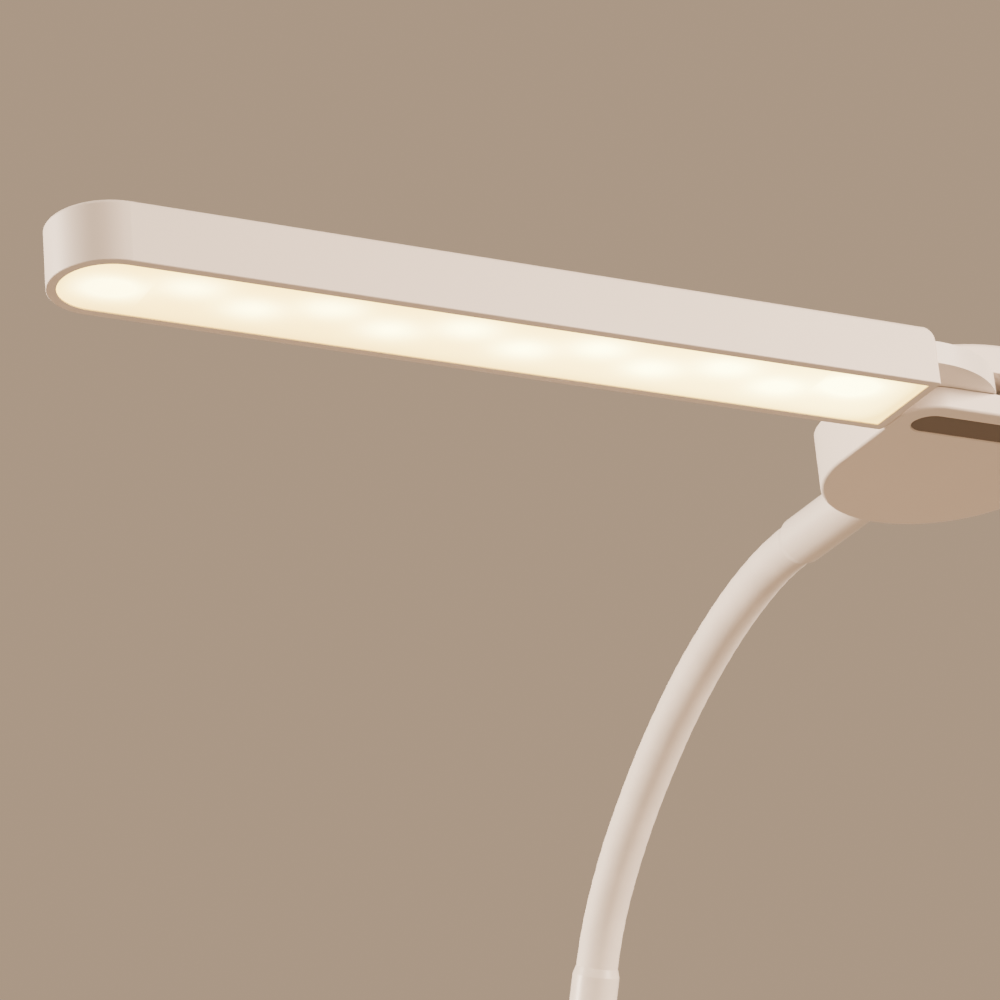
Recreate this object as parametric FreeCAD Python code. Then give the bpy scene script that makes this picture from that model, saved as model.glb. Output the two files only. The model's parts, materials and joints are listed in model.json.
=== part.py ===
import FreeCAD, Part
import math
import os

from FreeCAD import Placement, Rotation, Vector

os.makedirs("parts", exist_ok=True)

# Clip-on LED reading lamp, in millimetres, +Z up.
# The origin is the centre of the upper jaw pad's face. The jaws open towards -Y, and x = 0 is the
# middle plane of the clip, of the neck and of the head housing. The light bar reaches towards -X.

# ---- Clearances -------------------------------------------------------------------------------
FIT = 0.1             # between pieces that are assembled and stay put
RUNNING = 0.05        # radial clearance of a pin or ball in the piece that turns on it
BODY_GAP = 0.4        # between casings that move past each other

# ---- Light bar --------------------------------------------------------------------------------
BAR_LENGTH = 240.0
BAR_WIDTH = 29.9
BAR_HEIGHT = 16.0
BAR_RIM = 2.5         # rim seen round the diffuser
BAR_SEAT = 1.0        # step that the diffuser rests on
BAR_ROOF = 2.0
BAR_EDGE_ROUND = 1.0
BAR_RIM_CHAMFER = 0.15  # outer edge of the underside
BAR_END_ROUND = 3.5   # top edge at the hinge end
DIFFUSER_RECESS = 0.3
DIFFUSER_THICK = 1.8
HEAT_PLATE_THICK = 1.6
LED_BOARD_THICK = 1.0
LED_COUNT = 12
LED_PITCH = 18.4
LED_FIRST = 20.6      # from the hinge end to the first chip
LED_ROW_OFFSET = 3.0  # each of the two staggered rows from the bar's middle line
LED_SIZE = 3.5
LED_THICK = 0.8
LED_CORNER = 0.4
BOARD_CLEAR = 1.5     # between the boards' edges and the bar's inner walls
BOARD_SCREW_STEPS = (0.5, 5.5, 10.5)   # places of the board's screws, in chip pitches

# ---- Head housing -----------------------------------------------------------------------------
HOUSING_RADIUS = 32.5      # far end is a half circle of this radius
HOUSING_NEAR = 39.4        # from that circle's centre to the near wall
HOUSING_CORNER = 10.5      # near corners; the bar's pivot is the left corner's centre
HOUSING_SPLIT = 6.0        # height where the lower tray meets the upper shell
HOUSING_SIDE = 15.5        # height of the crowned top at the side walls
HOUSING_TOP = 21.3         # height of the crowned top at the middle
HOUSING_WALL = 2.0
HOUSING_FLOOR = 2.6
HOUSING_EDGE_ROUND = 0.8   # edge of the underside
HOUSING_TOP_ROUND = 1.2

# ---- Bar hinge --------------------------------------------------------------------------------
SLOT_HEIGHT = 6.6          # slot above the lower tray that the tongue swings in
TONGUE_CLEAR = 0.2         # above and below the tongue in that slot
TONGUE_REACH = 18.4        # radius of the tongue's round end about the pivot
TONGUE_EDGE_RADIUS = 33.0  # curved near edge
TONGUE_FAR = 5.9           # far edge beyond the pivot
TONGUE_NEAR_INSET = 0.6    # near edge inside the bar's near side
TONGUE_TAIL = 15.0         # part that is screwed inside the bar
TONGUE_TAIL_WIDTH = 19.0
TONGUE_SCREW_Y = 5.5       # each side of the bar's middle
TONGUE_FAR_INSET = 1.0     # far edge inside the bar's far side
PIN_RADIUS = 3.0
PIN_HEAD_RADIUS = 4.2
PIN_HEAD_THICK = 1.9
PIN_THREAD_RADIUS = 2.4
PIN_DRIVE = (3.0, 1.2)     # flats and depth of the pin's hexagon socket
BUSH_WALL = 1.4
WASHER_RADIUS = 6.5
WASHER_THICK = 0.8
WASHER_CLEAR = 0.4
BOSS_RADIUS = 9.0
DECK_THICK = 1.6           # decks that close the hinge cavity above and below
DECK_RIM = 2.0             # decks beyond the cavity

# ---- Sensor window ----------------------------------------------------------------------------
WINDOW_WIDTH = 9.7
WINDOW_DEPTH = 1.5
WINDOW_RECESS = 0.15
WINDOW_BORDER = 0.35       # chamfer round the window's recess
SENSOR_RADIUS = 2.0
SENSOR_X = 10.0
SENSOR_BOARD = (12.0, 11.0, 0.8)

# ---- Buttons and control board ----------------------------------------------------------------
BUTTON_RADIUS = 5.5
BUTTON_X = 10.5            # each side of the middle
BUTTON_Y = 8.0
BUTTON_TRAVEL = 0.6
BUTTON_PROUD = 0.5
BUTTON_FLANGE = 1.0
BUTTON_FLANGE_RIM = 1.0    # flange beyond the cap
BUTTON_GAP = 0.3           # round the cap and above the flange
BUTTON_ROUND = 0.6
BUTTON_DISH = 40.0         # radius of the dished top
BUTTON_DISH_DEPTH = 0.3
BUTTON_STEM_RIM = 0.6      # stem beyond the switch's plunger
CONTROL_BOARD = (46.4, 17.0, 1.2)
CONTROL_BOARD_Z = 11.8
CONTROL_CHIP = (8.0, 6.0, 1.4)
CONTROL_PLUG = (5.0, 5.0, 3.5)
CONTROL_PLUG_X = 11.5
SWITCH_SIZE = 6.0
SWITCH_HEIGHT = 1.6
PLUNGER_RADIUS = 1.6
PLUNGER_HEIGHT = 0.6

# ---- Gooseneck --------------------------------------------------------------------------------
NECK_TURNS = (14.0, 8.5, 5.5, 5.0, 6.0, 6.0, 8.0, 12.0)   # degrees, from the clip upwards
NECK_SEGMENT = 20.9        # length of each segment along the centre line
HOSE_RADIUS = 4.6
HOSE_BORE = 1.3
BALL_RADIUS = 3.8
SOCKET_RIM = 1.0           # socket reaches this far past the ball's centre
BALL_SHOULDER = 2.6        # from the ball's centre to its segment's shoulder
SLEEVE_RADIUS = 6.4
SLEEVE_SETBACK = 1.1       # from each pivot to the sleeve's end
UPPER_FERRULE_RADIUS = 7.1
UPPER_FERRULE_LENGTH = 40.5
LOWER_FERRULE_RADIUS = 7.2
LOWER_FERRULE_LENGTH = 40.0
FERRULE_HEIGHT = 10.6      # upper ferrule's axis above the housing's underside
FERRULE_SEAT = 3.0         # depth of the pocket that a ferrule stands in
FERRULE_SOCKET = 10.0      # length of hose held in a ferrule
STUB_RADIUS = 4.4
STUB_WALL = 2.5            # wall between a ferrule's shoulder and its nut
NUT_THICK = 4.0
NUT_FLATS = 11.0
STUB_END = 1.5             # stub beyond the nut
NUT_WALL_HALF = 9.0        # half width of the wall that the upper nut bears on
FERRULE_TAPER = 0.7         # fall in radius over the taper at the hose's end
FERRULE_TAPER_LENGTH = 2.5

# ---- Clip: upper half -------------------------------------------------------------------------
CLIP_WIDTH = 48.0
CLIP_FRONT = 20.0          # from the pad's centre to the jaw's tip
CLIP_REAR = 92.0           # from the pad's centre to the handle's end
CLIP_CORNER = 9.0
CLIP_BASE_FLOOR = 4.0
CLIP_SPLIT = 10.0          # height where the cover meets the base
CLIP_TOP = 18.0
CLIP_WALL = 2.2
CLIP_TOP_ROUND = 3.0
BOSS_MOUTH = (42.0, 22.0)  # y and z of the neck boss's mouth
BOSS_OUTER = 10.5
BOSS_CHAMFER = 1.2
CLIP_BASE_CHAMFER = 0.8
EAR_INSET = 2.0            # ears inside the clip's sides
PAD_SIZE = (36.0, 30.0, 3.0)
PAD_CORNER = 4.0
PAD_PROUD = 1.5            # pad face beyond the jaw's own face
JAW_GAP = 5.0              # between the pads when the jaw rests on its stops

# ---- Clip: hinge and lower half ---------------------------------------------------------------
HINGE_Y = 40.0
HINGE_DROP = 7.0           # pin axis under the base's underside
HINGE_PIN_RADIUS = 2.5
EAR_RADIUS = 6.5
EAR_THICK = 4.0
JAW_EAR_RADIUS = 5.5
JAW_EAR_THICK = 4.4
JAW_INSET = 2.0
JAW_THICK = 6.0
HANDLE_ANGLE = 34.0        # lower handle below the upper one
HANDLE_LENGTH = 58.0
HANDLE_THICK = 3.6
HANDLE_OFFSET = 4.6        # from the pin's axis down to the handle's upper face
HANDLE_CLEAR = 8.6         # wide parts of the jaw start this far from the pin
STOP_SIZE = 3.6
STOP_GAP = 0.3
SPRING_WIRE = 0.9          # radius of the wire
SPRING_COIL = 3.6          # radius of the coil's middle line
SPRING_PITCH = 2.0
SPRING_TURNS = 8           # whole turns between the legs
SPRING_LIFT = 8.5          # angle of the leg that bears on the base
SPRING_LEG = 16.0
SPRING_CLEAR = 0.6
PIN_HEAD = 4.0
PIN_HEAD_LENGTH = 1.4
CLIP_RING_RADIUS = 3.8
CLIP_RING_THICK = 0.8
CLIP_RING_MOUTH = 1.2      # half width of the ring's opening
GRIP_THICK = 1.8
GRIP_LENGTH = 30.0
GRIP_CORNER = 3.0
GRIP_INSET = 5.0           # inside the handle's sides
GRIP_END = 4.0             # short of the handle's end

# ---- Clip: what is inside ---------------------------------------------------------------------
BATTERY = (31.0, 44.0, 9.0)
BATTERY_ROUND = 2.0
CHARGE_BOARD = (26.0, 30.0, 1.2)
CHARGE_BOARD_LIFT = 1.0    # above the floor
CHARGE_BOARD_GAP = 0.4     # to the rear wall
CHARGE_CHIP = (10.0, 9.0, 1.2)
BOARD_REST_RADIUS = 1.6
BOARD_REST = (9.0, 10.0)   # rests each side of the board's middle
INLET_SIZE = (8.94, 7.3, 3.2)
INLET_SHELL = 0.3
INLET_BLADE = (6.6, 0.7)
LIGHT_PIPE_RADIUS = 1.5
LIGHT_PIPE_INSET = 14.0    # from the rear wall
SCREW_RADIUS = 1.25
SCREW_HEAD_RADIUS = 2.4
SCREW_HEAD_THICK = 1.5
SCREW_SEAT_GAP = 0.2       # a sunk head below the face
SCREW_SLOT = (1.6, 0.4, 0.6)   # half length, half width and depth of the cross
POST_RADIUS = 2.8
CLIP_SCREW_X = 18.8
CLIP_SCREW_Y = (22.0, 80.0)

# ---- Worked out from the sizes above ------------------------------------------------------------
PIVOT = Vector(-HOUSING_RADIUS + HOUSING_CORNER, -HOUSING_NEAR + HOUSING_CORNER, 0)
BAR_RIGHT = -HOUSING_RADIUS - BODY_GAP
BAR_LEFT = BAR_RIGHT - BAR_LENGTH
BAR_FAR = PIVOT.y + TONGUE_FAR + TONGUE_FAR_INSET
BAR_MIDDLE = BAR_FAR - BAR_WIDTH / 2
BAR_SEAT_Z = DIFFUSER_RECESS + DIFFUSER_THICK
BAR_CEILING = BAR_HEIGHT - BAR_ROOF
PLATE_Z = BAR_CEILING - HEAT_PLATE_THICK
BOARD_Z = PLATE_Z - LED_BOARD_THICK
SLOT_TOP = HOUSING_SPLIT + SLOT_HEIGHT
TONGUE_Z = HOUSING_SPLIT + TONGUE_CLEAR
TONGUE_TOP = SLOT_TOP - TONGUE_CLEAR
CAVITY_RADIUS = math.hypot(HOUSING_CORNER + BODY_GAP, BAR_WIDTH - TONGUE_FAR - TONGUE_FAR_INSET) + 0.2
CROWN_RISE = HOUSING_TOP - HOUSING_SIDE
CROWN_RADIUS = (HOUSING_RADIUS ** 2 + CROWN_RISE ** 2) / (2 * CROWN_RISE)
WINDOW_LENGTH = -2 * PIVOT.x + WINDOW_WIDTH
WASHER_RECESS = WASHER_THICK - TONGUE_CLEAR + RUNNING
PIN_SEAT = WINDOW_DEPTH + SCREW_SEAT_GAP + PIN_HEAD_THICK
HOSE_HOLE = HOSE_RADIUS + RUNNING
CLIP_UNDER = PAD_PROUD
CLIP_FLOOR = CLIP_UNDER + CLIP_BASE_FLOOR
HINGE_Z = CLIP_UNDER - HINGE_DROP
EAR_INNER = CLIP_WIDTH / 2 - EAR_INSET - EAR_THICK
JAW_WIDTH = CLIP_WIDTH - 2 * JAW_INSET
JAW_EAR_INNER = EAR_INNER - BODY_GAP - JAW_EAR_THICK
CHARGE_BOARD_REAR = CLIP_REAR - CLIP_WALL - CHARGE_BOARD_GAP
CHARGE_BOARD_TOP = CLIP_FLOOR + CHARGE_BOARD_LIFT + CHARGE_BOARD[2]
LIGHT_PIPE_Y = CLIP_REAR - CLIP_WALL - LIGHT_PIPE_INSET
JAW_TOP = -JAW_GAP - PAD_PROUD
LEAN = 90.0 - sum(NECK_TURNS)


# ---- General shapes -----------------------------------------------------------------------------
def box(low, high):
    """A box between two corners."""
    size = Vector(*high) - Vector(*low)
    return Part.makeBox(size.x, size.y, size.z, Vector(*low))


def cylinder(radius, x, y, low, high):
    """A cylinder along Z between two heights."""
    return Part.makeCylinder(radius, high - low, Vector(x, y, low))


def cross_cylinder(radius, y, z, low, high):
    """A cylinder along X between two places."""
    return Part.makeCylinder(radius, high - low, Vector(low, y, z), Vector(1, 0, 0))


def prism(edges, low, high):
    """The closed plan outline raised from one height to another."""
    face = Part.Face(Part.Wire(Part.__sortEdges__(edges)))
    face.translate(Vector(0, 0, low))
    return face.extrude(Vector(0, 0, high - low))


def line(a, b):
    """A straight edge between two plan points."""
    return Part.LineSegment(Vector(a[0], a[1], 0), Vector(b[0], b[1], 0)).toShape()


def arc(a, middle, b):
    """A circular edge through three plan points."""
    points = [Vector(p[0], p[1], 0) for p in (a, middle, b)]
    return Part.Arc(*points).toShape()


def bulged_arc(a, b, radius):
    """An arc of a given radius from a to b that bulges to the right of that direction."""
    a, b = Vector(a[0], a[1], 0), Vector(b[0], b[1], 0)
    half = (b - a).Length / 2
    rise = radius - math.sqrt(radius ** 2 - half ** 2)
    along = (b - a).normalize()
    middle = (a + b) * 0.5 + Vector(along.y, -along.x, 0) * rise
    return arc(a, middle, b)


def rounded_box(width, front, rear, corner, low, high):
    """A box with rounded upright corners, centred on x = 0 and reaching from y = front to rear."""
    block = box((-width / 2, front, low), (width / 2, rear, high))
    return rounded(block, corner, lambda e: upright(e))


def stadium(length, width, middle, low, high):
    """A slot shape along X with round ends, centred on a plan point."""
    run = (length - width) / 2
    body = box((middle.x - run, middle.y - width / 2, low), (middle.x + run, middle.y + width / 2, high))
    ends = [cylinder(width / 2, middle.x + side * run, middle.y, low, high) for side in (-1, 1)]
    return body.fuse(ends).removeSplitter()


def hexagon(flats, low, high):
    """A hexagonal prism along Z."""
    reach = flats / math.sqrt(3)
    turns = [math.radians(60 * n) for n in range(7)]
    corners = [Vector(reach * math.cos(t), reach * math.sin(t), low) for t in turns]
    return Part.Face(Part.makePolygon(corners)).extrude(Vector(0, 0, high - low))


def upright(edge):
    """Whether an edge is straight and runs along Z."""
    ends = [v.Point for v in edge.Vertexes]
    return len(ends) == 2 and math.hypot(ends[0].x - ends[1].x, ends[0].y - ends[1].y) < 1e-6


def at_height(z):
    """A test for edges that lie wholly at one height."""
    return lambda e: abs(e.BoundBox.ZMin - z) < 1e-4 and abs(e.BoundBox.ZMax - z) < 1e-4


def rounded(shape, radius, wanted):
    """The shape with the edges that pass the test filleted."""
    return shape.makeFillet(radius, [e for e in shape.Edges if wanted(e)])


def chamfered(shape, size, wanted):
    """The shape with the edges that pass the test chamfered."""
    return shape.makeChamfer(size, [e for e in shape.Edges if wanted(e)])


def screw(x, y, head_z, length, up=True):
    """A pan-head screw whose shank points up or down from the underside of its head."""
    sign = 1 if up else -1
    shank = sorted((head_z, head_z + sign * length))
    head = sorted((head_z, head_z - sign * SCREW_HEAD_THICK))
    body = cylinder(SCREW_RADIUS, x, y, *shank).fuse(cylinder(SCREW_HEAD_RADIUS, x, y, *head))
    reach, half, depth = SCREW_SLOT
    slot = box((-half, -reach, -depth), (half, reach, depth))
    slot = slot.fuse(box((-reach, -half, -depth), (reach, half, depth)))
    slot.translate(Vector(x, y, head_z - sign * SCREW_HEAD_THICK))
    return body.cut(slot)


# ---- Gooseneck path -----------------------------------------------------------------------------
def heading(lean):
    """The direction that leans from +Z towards -Y by an angle in degrees."""
    return Vector(0, -math.sin(math.radians(lean)), math.cos(math.radians(lean)))


def bend_side(lean):
    """The direction towards the centre of the neck's bend."""
    return Vector(0, -math.cos(math.radians(lean)), -math.sin(math.radians(lean)))


def neck_stations():
    """The neck's pivots from the lower ferrule to the upper one, each with its lean."""
    mouth = Vector(0, *BOSS_MOUTH)
    point = mouth + heading(LEAN) * LOWER_FERRULE_LENGTH
    lean = LEAN
    stations = [(point, lean)]
    for turn in NECK_TURNS:
        bend = NECK_SEGMENT / math.radians(turn)
        point = point + bend_side(lean) * bend - bend_side(lean + turn) * bend
        lean += turn
        stations.append((point, lean))
    return stations


STATIONS = neck_stations()
HEAD = STATIONS[-1][0] - Vector(0, HOUSING_RADIUS + UPPER_FERRULE_LENGTH, FERRULE_HEIGHT)


def bend_tube(index, radius, start, end):
    """A solid bend along one neck segment, trimmed by a length at each end."""
    point, lean = STATIONS[index]
    turn = NECK_TURNS[index]
    bend = NECK_SEGMENT / math.radians(turn)
    centre = point + bend_side(lean) * bend
    first = lean + math.degrees(start / bend)
    last = lean + turn - math.degrees(end / bend)
    place = centre - bend_side(first) * bend
    circle = Part.Face(Part.Wire(Part.makeCircle(radius, place, heading(first))))
    return circle.revolve(centre, Vector(1, 0, 0), last - first)


def along_neck(station, radius, low, high):
    """A straight cylinder on the neck's tangent at a station."""
    point, lean = STATIONS[station]
    return Part.makeCylinder(radius, high - low, point + heading(lean) * low, heading(lean))


def at_ferrule(shape, point, lean):
    """Places a shape made along Z so that it stands at a point and leans."""
    placed = shape.copy()
    placed.Placement = Placement(point, Rotation(Vector(1, 0, 0), lean)).multiply(placed.Placement)
    return placed


def neck_hose(index):
    """One link of the gooseneck: a ball at its lower end and a socket at its upper end."""
    last = len(NECK_TURNS) - 1
    link = bend_tube(index, HOSE_RADIUS, 0 if index == 0 else BALL_SHOULDER, 0)
    if index == 0:
        link = link.fuse(along_neck(0, HOSE_RADIUS, -FERRULE_SOCKET, 0))
    else:
        link = link.fuse(Part.makeSphere(BALL_RADIUS, STATIONS[index][0]))
    if index == last:
        link = link.fuse(along_neck(index + 1, HOSE_RADIUS, 0, FERRULE_SOCKET))
    else:
        link = link.fuse(along_neck(index + 1, HOSE_RADIUS, 0, SOCKET_RIM))
        link = link.cut(Part.makeSphere(BALL_RADIUS + RUNNING, STATIONS[index + 1][0]))
    wire_way = bend_tube(index, HOSE_BORE, 0, 0)
    wire_way = wire_way.fuse(along_neck(index, HOSE_BORE, -FERRULE_SOCKET - 1, 0))
    wire_way = wire_way.fuse(along_neck(index + 1, HOSE_BORE, 0, FERRULE_SOCKET + 1))
    return link.cut(wire_way)


def neck_sleeve(index):
    """The soft sleeve over one link, set back from the pivots it bends at."""
    start = 0 if index == 0 else SLEEVE_SETBACK
    end = 0 if index == len(NECK_TURNS) - 1 else SLEEVE_SETBACK
    outer = bend_tube(index, SLEEVE_RADIUS, start, end)
    return outer.cut(bend_tube(index, HOSE_HOLE, 0, 0))


def ferrule(radius, length):
    """A ferrule along +Z: threaded stub, shoulder at -seat, body, and the hose's socket on top."""
    body = cylinder(radius, 0, 0, -FERRULE_SEAT, length - FERRULE_TAPER_LENGTH)
    taper_base = Vector(0, 0, length - FERRULE_TAPER_LENGTH)
    body = body.fuse(Part.makeCone(radius, radius - FERRULE_TAPER, FERRULE_TAPER_LENGTH, taper_base))
    stub_end = -FERRULE_SEAT - STUB_WALL - NUT_THICK - STUB_END
    body = body.fuse(cylinder(STUB_RADIUS, 0, 0, stub_end, -FERRULE_SEAT))
    body = body.cut(cylinder(HOSE_HOLE, 0, 0, length - FERRULE_SOCKET, length))
    return body.cut(cylinder(HOSE_BORE + 0.3, 0, 0, stub_end, length))


def ferrule_nut():
    """The nut on a ferrule's stub."""
    top = -FERRULE_SEAT - STUB_WALL
    nut = hexagon(NUT_FLATS, top - NUT_THICK, top)
    return nut.cut(cylinder(STUB_RADIUS, 0, 0, top - NUT_THICK, top))


# ---- Light bar, in the head's own frame -----------------------------------------------------------
def bar_plan(inset, low, high, right_inset=None):
    """The bar's outline with one round and one flat end, inset all round, as a prism."""
    half = BAR_WIDTH / 2 - inset
    right = BAR_RIGHT - (inset if right_inset is None else right_inset)
    centre = BAR_LEFT + BAR_WIDTH / 2
    far, near = BAR_MIDDLE + half, BAR_MIDDLE - half
    edges = [
        line((right, far), (centre, far)),
        arc((centre, far), (centre - half, BAR_MIDDLE), (centre, near)),
        line((centre, near), (right, near)),
        line((right, near), (right, far)),
    ]
    return prism(edges, low, high)


def about_pivot(radius, low, high):
    """A disc about the bar's pivot."""
    return cylinder(radius, PIVOT.x, PIVOT.y, low, high)


def tongue_tail(clear):
    """The part of the tongue that passes through the bar's end wall, grown by a clearance."""
    half = TONGUE_TAIL_WIDTH / 2 + clear
    return box(
        (BAR_RIGHT - TONGUE_TAIL - clear, BAR_MIDDLE - half, TONGUE_Z - clear),
        (BAR_RIGHT, BAR_MIDDLE + half, TONGUE_TOP + clear),
    )


def tongue_screw_places():
    """Where the two screws hold the tongue's tail to the bar's roof."""
    return [(BAR_RIGHT - 0.55 * TONGUE_TAIL, BAR_MIDDLE + side * TONGUE_SCREW_Y) for side in (-1, 1)]


def board_screw_places():
    """Where screws hold the LED board and heat plate to the bar's roof."""
    return [(BAR_RIGHT - LED_FIRST - LED_PITCH * n, BAR_MIDDLE) for n in BOARD_SCREW_STEPS]


def bar_housing():
    """The bar's moulded channel, open below."""
    body = bar_plan(0, 0, BAR_HEIGHT)
    end_edge = lambda e: at_height(BAR_HEIGHT)(e) and e.BoundBox.XMin > BAR_RIGHT - 1e-3
    body = rounded(body, BAR_END_ROUND, end_edge)
    body = rounded(body, BAR_EDGE_ROUND, at_height(BAR_HEIGHT))
    body = chamfered(body, BAR_RIM_CHAMFER, at_height(0))
    body = body.cut(bar_plan(BAR_RIM, 0, BAR_SEAT_Z))
    body = body.cut(bar_plan(BAR_RIM + BAR_SEAT, BAR_SEAT_Z, BAR_CEILING))
    for x, y in tongue_screw_places():
        body = body.fuse(cylinder(POST_RADIUS, x, y, TONGUE_TOP, BAR_CEILING + 0.5))
    body = body.cut(tongue_tail(FIT))
    for x, y in tongue_screw_places():
        body = body.cut(cylinder(SCREW_RADIUS, x, y, TONGUE_TOP, BAR_CEILING + 0.8))
    for x, y in board_screw_places():
        body = body.cut(cylinder(SCREW_RADIUS, x, y, BAR_CEILING, BAR_CEILING + 1.0))
    return body.removeSplitter()


def bar_diffuser():
    """The opal strip in the bar's underside."""
    return bar_plan(BAR_RIM + FIT / 2, DIFFUSER_RECESS, BAR_SEAT_Z)


def board_plan(inset, low, high):
    """A strip inside the bar that stops short of the tongue's tail."""
    return bar_plan(BAR_RIM + BAR_SEAT + inset, low, high, TONGUE_TAIL + BOARD_CLEAR)


def bar_heat_plate():
    """The aluminium plate behind the LED board."""
    plate = board_plan(BOARD_CLEAR / 2, PLATE_Z, BAR_CEILING)
    for x, y in board_screw_places():
        plate = plate.cut(cylinder(SCREW_RADIUS, x, y, PLATE_Z, BAR_CEILING))
    return plate


def led_board():
    """The circuit board that carries the chips."""
    board = board_plan(BOARD_CLEAR, BOARD_Z, PLATE_Z)
    for x, y in board_screw_places():
        board = board.cut(cylinder(SCREW_RADIUS, x, y, BOARD_Z, PLATE_Z))
    return board


def led_chips():
    """The chips, in two staggered rows."""
    chips = []
    for n in range(LED_COUNT):
        x = BAR_RIGHT - LED_FIRST - LED_PITCH * n
        y = BAR_MIDDLE + (-LED_ROW_OFFSET if n % 2 == 0 else LED_ROW_OFFSET)
        half = LED_SIZE / 2
        chip = box((x - half, y - half, BOARD_Z - LED_THICK), (x + half, y + half, BOARD_Z))
        chips.append(rounded(chip, LED_CORNER, upright))
    return Part.makeCompound(chips)


def board_screws():
    """Short screws through the LED board and heat plate into the roof."""
    length = HEAT_PLATE_THICK + LED_BOARD_THICK + 0.9
    return Part.makeCompound([screw(x, y, BOARD_Z, length) for x, y in board_screw_places()])


def tongue_screws():
    """The two screws through the tongue's tail."""
    head_z = TONGUE_Z + SCREW_HEAD_THICK + SCREW_SEAT_GAP
    length = BAR_CEILING + 0.6 - head_z
    return Part.makeCompound([screw(x, y, head_z, length) for x, y in tongue_screw_places()])


def hinge_tongue():
    """The metal tongue that carries the bar on its pivot."""
    left = BAR_RIGHT
    near = BAR_FAR - BAR_WIDTH + TONGUE_NEAR_INSET
    far = PIVOT.y + TONGUE_FAR
    meets_wall = PIVOT.x + math.sqrt(TONGUE_REACH ** 2 - HOUSING_CORNER ** 2)
    far_corner = PIVOT.x + math.sqrt(TONGUE_REACH ** 2 - TONGUE_FAR ** 2)
    round_end = (PIVOT.x + TONGUE_REACH, PIVOT.y)
    edges = [
        bulged_arc((left, near), (meets_wall, PIVOT.y - HOUSING_CORNER), TONGUE_EDGE_RADIUS),
        arc((meets_wall, PIVOT.y - HOUSING_CORNER), round_end, (far_corner, far)),
        line((far_corner, far), (left, far)),
        line((left, far), (left, near)),
    ]
    tongue = prism(edges, TONGUE_Z, TONGUE_TOP).fuse(tongue_tail(0))
    tongue = tongue.cut(about_pivot(PIN_RADIUS + RUNNING + BUSH_WALL, TONGUE_Z, TONGUE_TOP))
    for low, high in ((TONGUE_Z, TONGUE_Z + WASHER_RECESS), (TONGUE_TOP - WASHER_RECESS, TONGUE_TOP)):
        tongue = tongue.cut(about_pivot(WASHER_RADIUS + WASHER_CLEAR, low, high))
    for x, y in tongue_screw_places():
        tongue = tongue.cut(cylinder(SCREW_RADIUS + FIT, x, y, TONGUE_Z, TONGUE_TOP))
        seat = TONGUE_Z + SCREW_HEAD_THICK + SCREW_SEAT_GAP
        tongue = tongue.cut(cylinder(SCREW_HEAD_RADIUS + FIT, x, y, TONGUE_Z, seat))
    return tongue.removeSplitter()


def hinge_bush():
    """The bronze bush pressed into the tongue."""
    low, high = TONGUE_Z + WASHER_RECESS, TONGUE_TOP - WASHER_RECESS
    outer = about_pivot(PIN_RADIUS + RUNNING + BUSH_WALL, low, high)
    return outer.cut(about_pivot(PIN_RADIUS + RUNNING, low, high))


def hinge_pin():
    """The shouldered pin that is screwed up into the upper shell."""
    under = PIN_SEAT - PIN_HEAD_THICK
    pin = about_pivot(PIN_HEAD_RADIUS, under, PIN_SEAT)
    pin = pin.fuse(about_pivot(PIN_RADIUS, PIN_SEAT, SLOT_TOP))
    pin = pin.fuse(about_pivot(PIN_THREAD_RADIUS, SLOT_TOP, HOUSING_SIDE))
    flats, depth = PIN_DRIVE
    drive = hexagon(flats, under, under + depth)
    drive.translate(Vector(PIVOT.x, PIVOT.y, 0))
    return pin.cut(drive)


def hinge_washers():
    """The two friction washers, one each side of the tongue."""
    washers = []
    for low, high in ((HOUSING_SPLIT, HOUSING_SPLIT + WASHER_THICK), (SLOT_TOP - WASHER_THICK, SLOT_TOP)):
        washers.append(about_pivot(WASHER_RADIUS, low, high).cut(about_pivot(PIN_RADIUS + FIT, low, high)))
    return Part.makeCompound(washers)


# ---- Head housing, in the head's own frame ----------------------------------------------------------
def housing_plan(inset, low, high):
    """The housing's outline, inset all round, as a prism."""
    radius = HOUSING_RADIUS - inset
    near = -HOUSING_NEAR + inset
    corner = HOUSING_CORNER - inset
    bend = corner * math.sqrt(0.5)
    edges = [
        arc((radius, 0), (0, radius), (-radius, 0)),
        line((-radius + corner, near), (radius - corner, near)),
    ]
    for side in (-1, 1):
        start, end = (side * radius, near + corner), (side * (radius - corner), near)
        middle = (side * (radius - corner + bend), near + corner - bend)
        edges += [line((side * radius, 0), start), arc(start, middle, end)]
    return prism(edges, low, high)


def crown(drop):
    """Everything under the housing's crowned top, lowered by a thickness."""
    axis_z = HOUSING_TOP - CROWN_RADIUS
    start = Vector(0, -HOUSING_NEAR - 5, axis_z)
    length = HOUSING_NEAR + HOUSING_RADIUS + 10
    return Part.makeCylinder(CROWN_RADIUS - drop, length, start, Vector(0, 1, 0))


def housing_screw_place():
    """The screw at the window's other end."""
    return (-PIVOT.x, PIVOT.y)


def in_head_far_wall(shape):
    """Turns a shape made along +Z to point along +Y from the housing's far end."""
    placed = shape.copy()
    turn = Rotation(Vector(1, 0, 0), -90)
    where = Vector(0, HOUSING_RADIUS, FERRULE_HEIGHT)
    placed.Placement = Placement(where, turn).multiply(placed.Placement)
    return placed


def ferrule_pocket(radius):
    """The pocket that a ferrule's shoulder stands in."""
    return Part.makeCylinder(radius + FIT / 2, FERRULE_SEAT + 20, Vector(0, 0, -FERRULE_SEAT))


def stub_hole():
    """The hole for a ferrule's threaded stub."""
    return Part.makeCylinder(STUB_RADIUS + FIT / 2, 20, Vector(0, 0, -FERRULE_SEAT - 20))


def window_recess(extra, depth):
    """The recess for the sensor window."""
    middle = Vector(0, PIVOT.y, 0)
    return stadium(WINDOW_LENGTH + 2 * extra, WINDOW_WIDTH + 2 * extra, middle, 0, depth)


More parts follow.
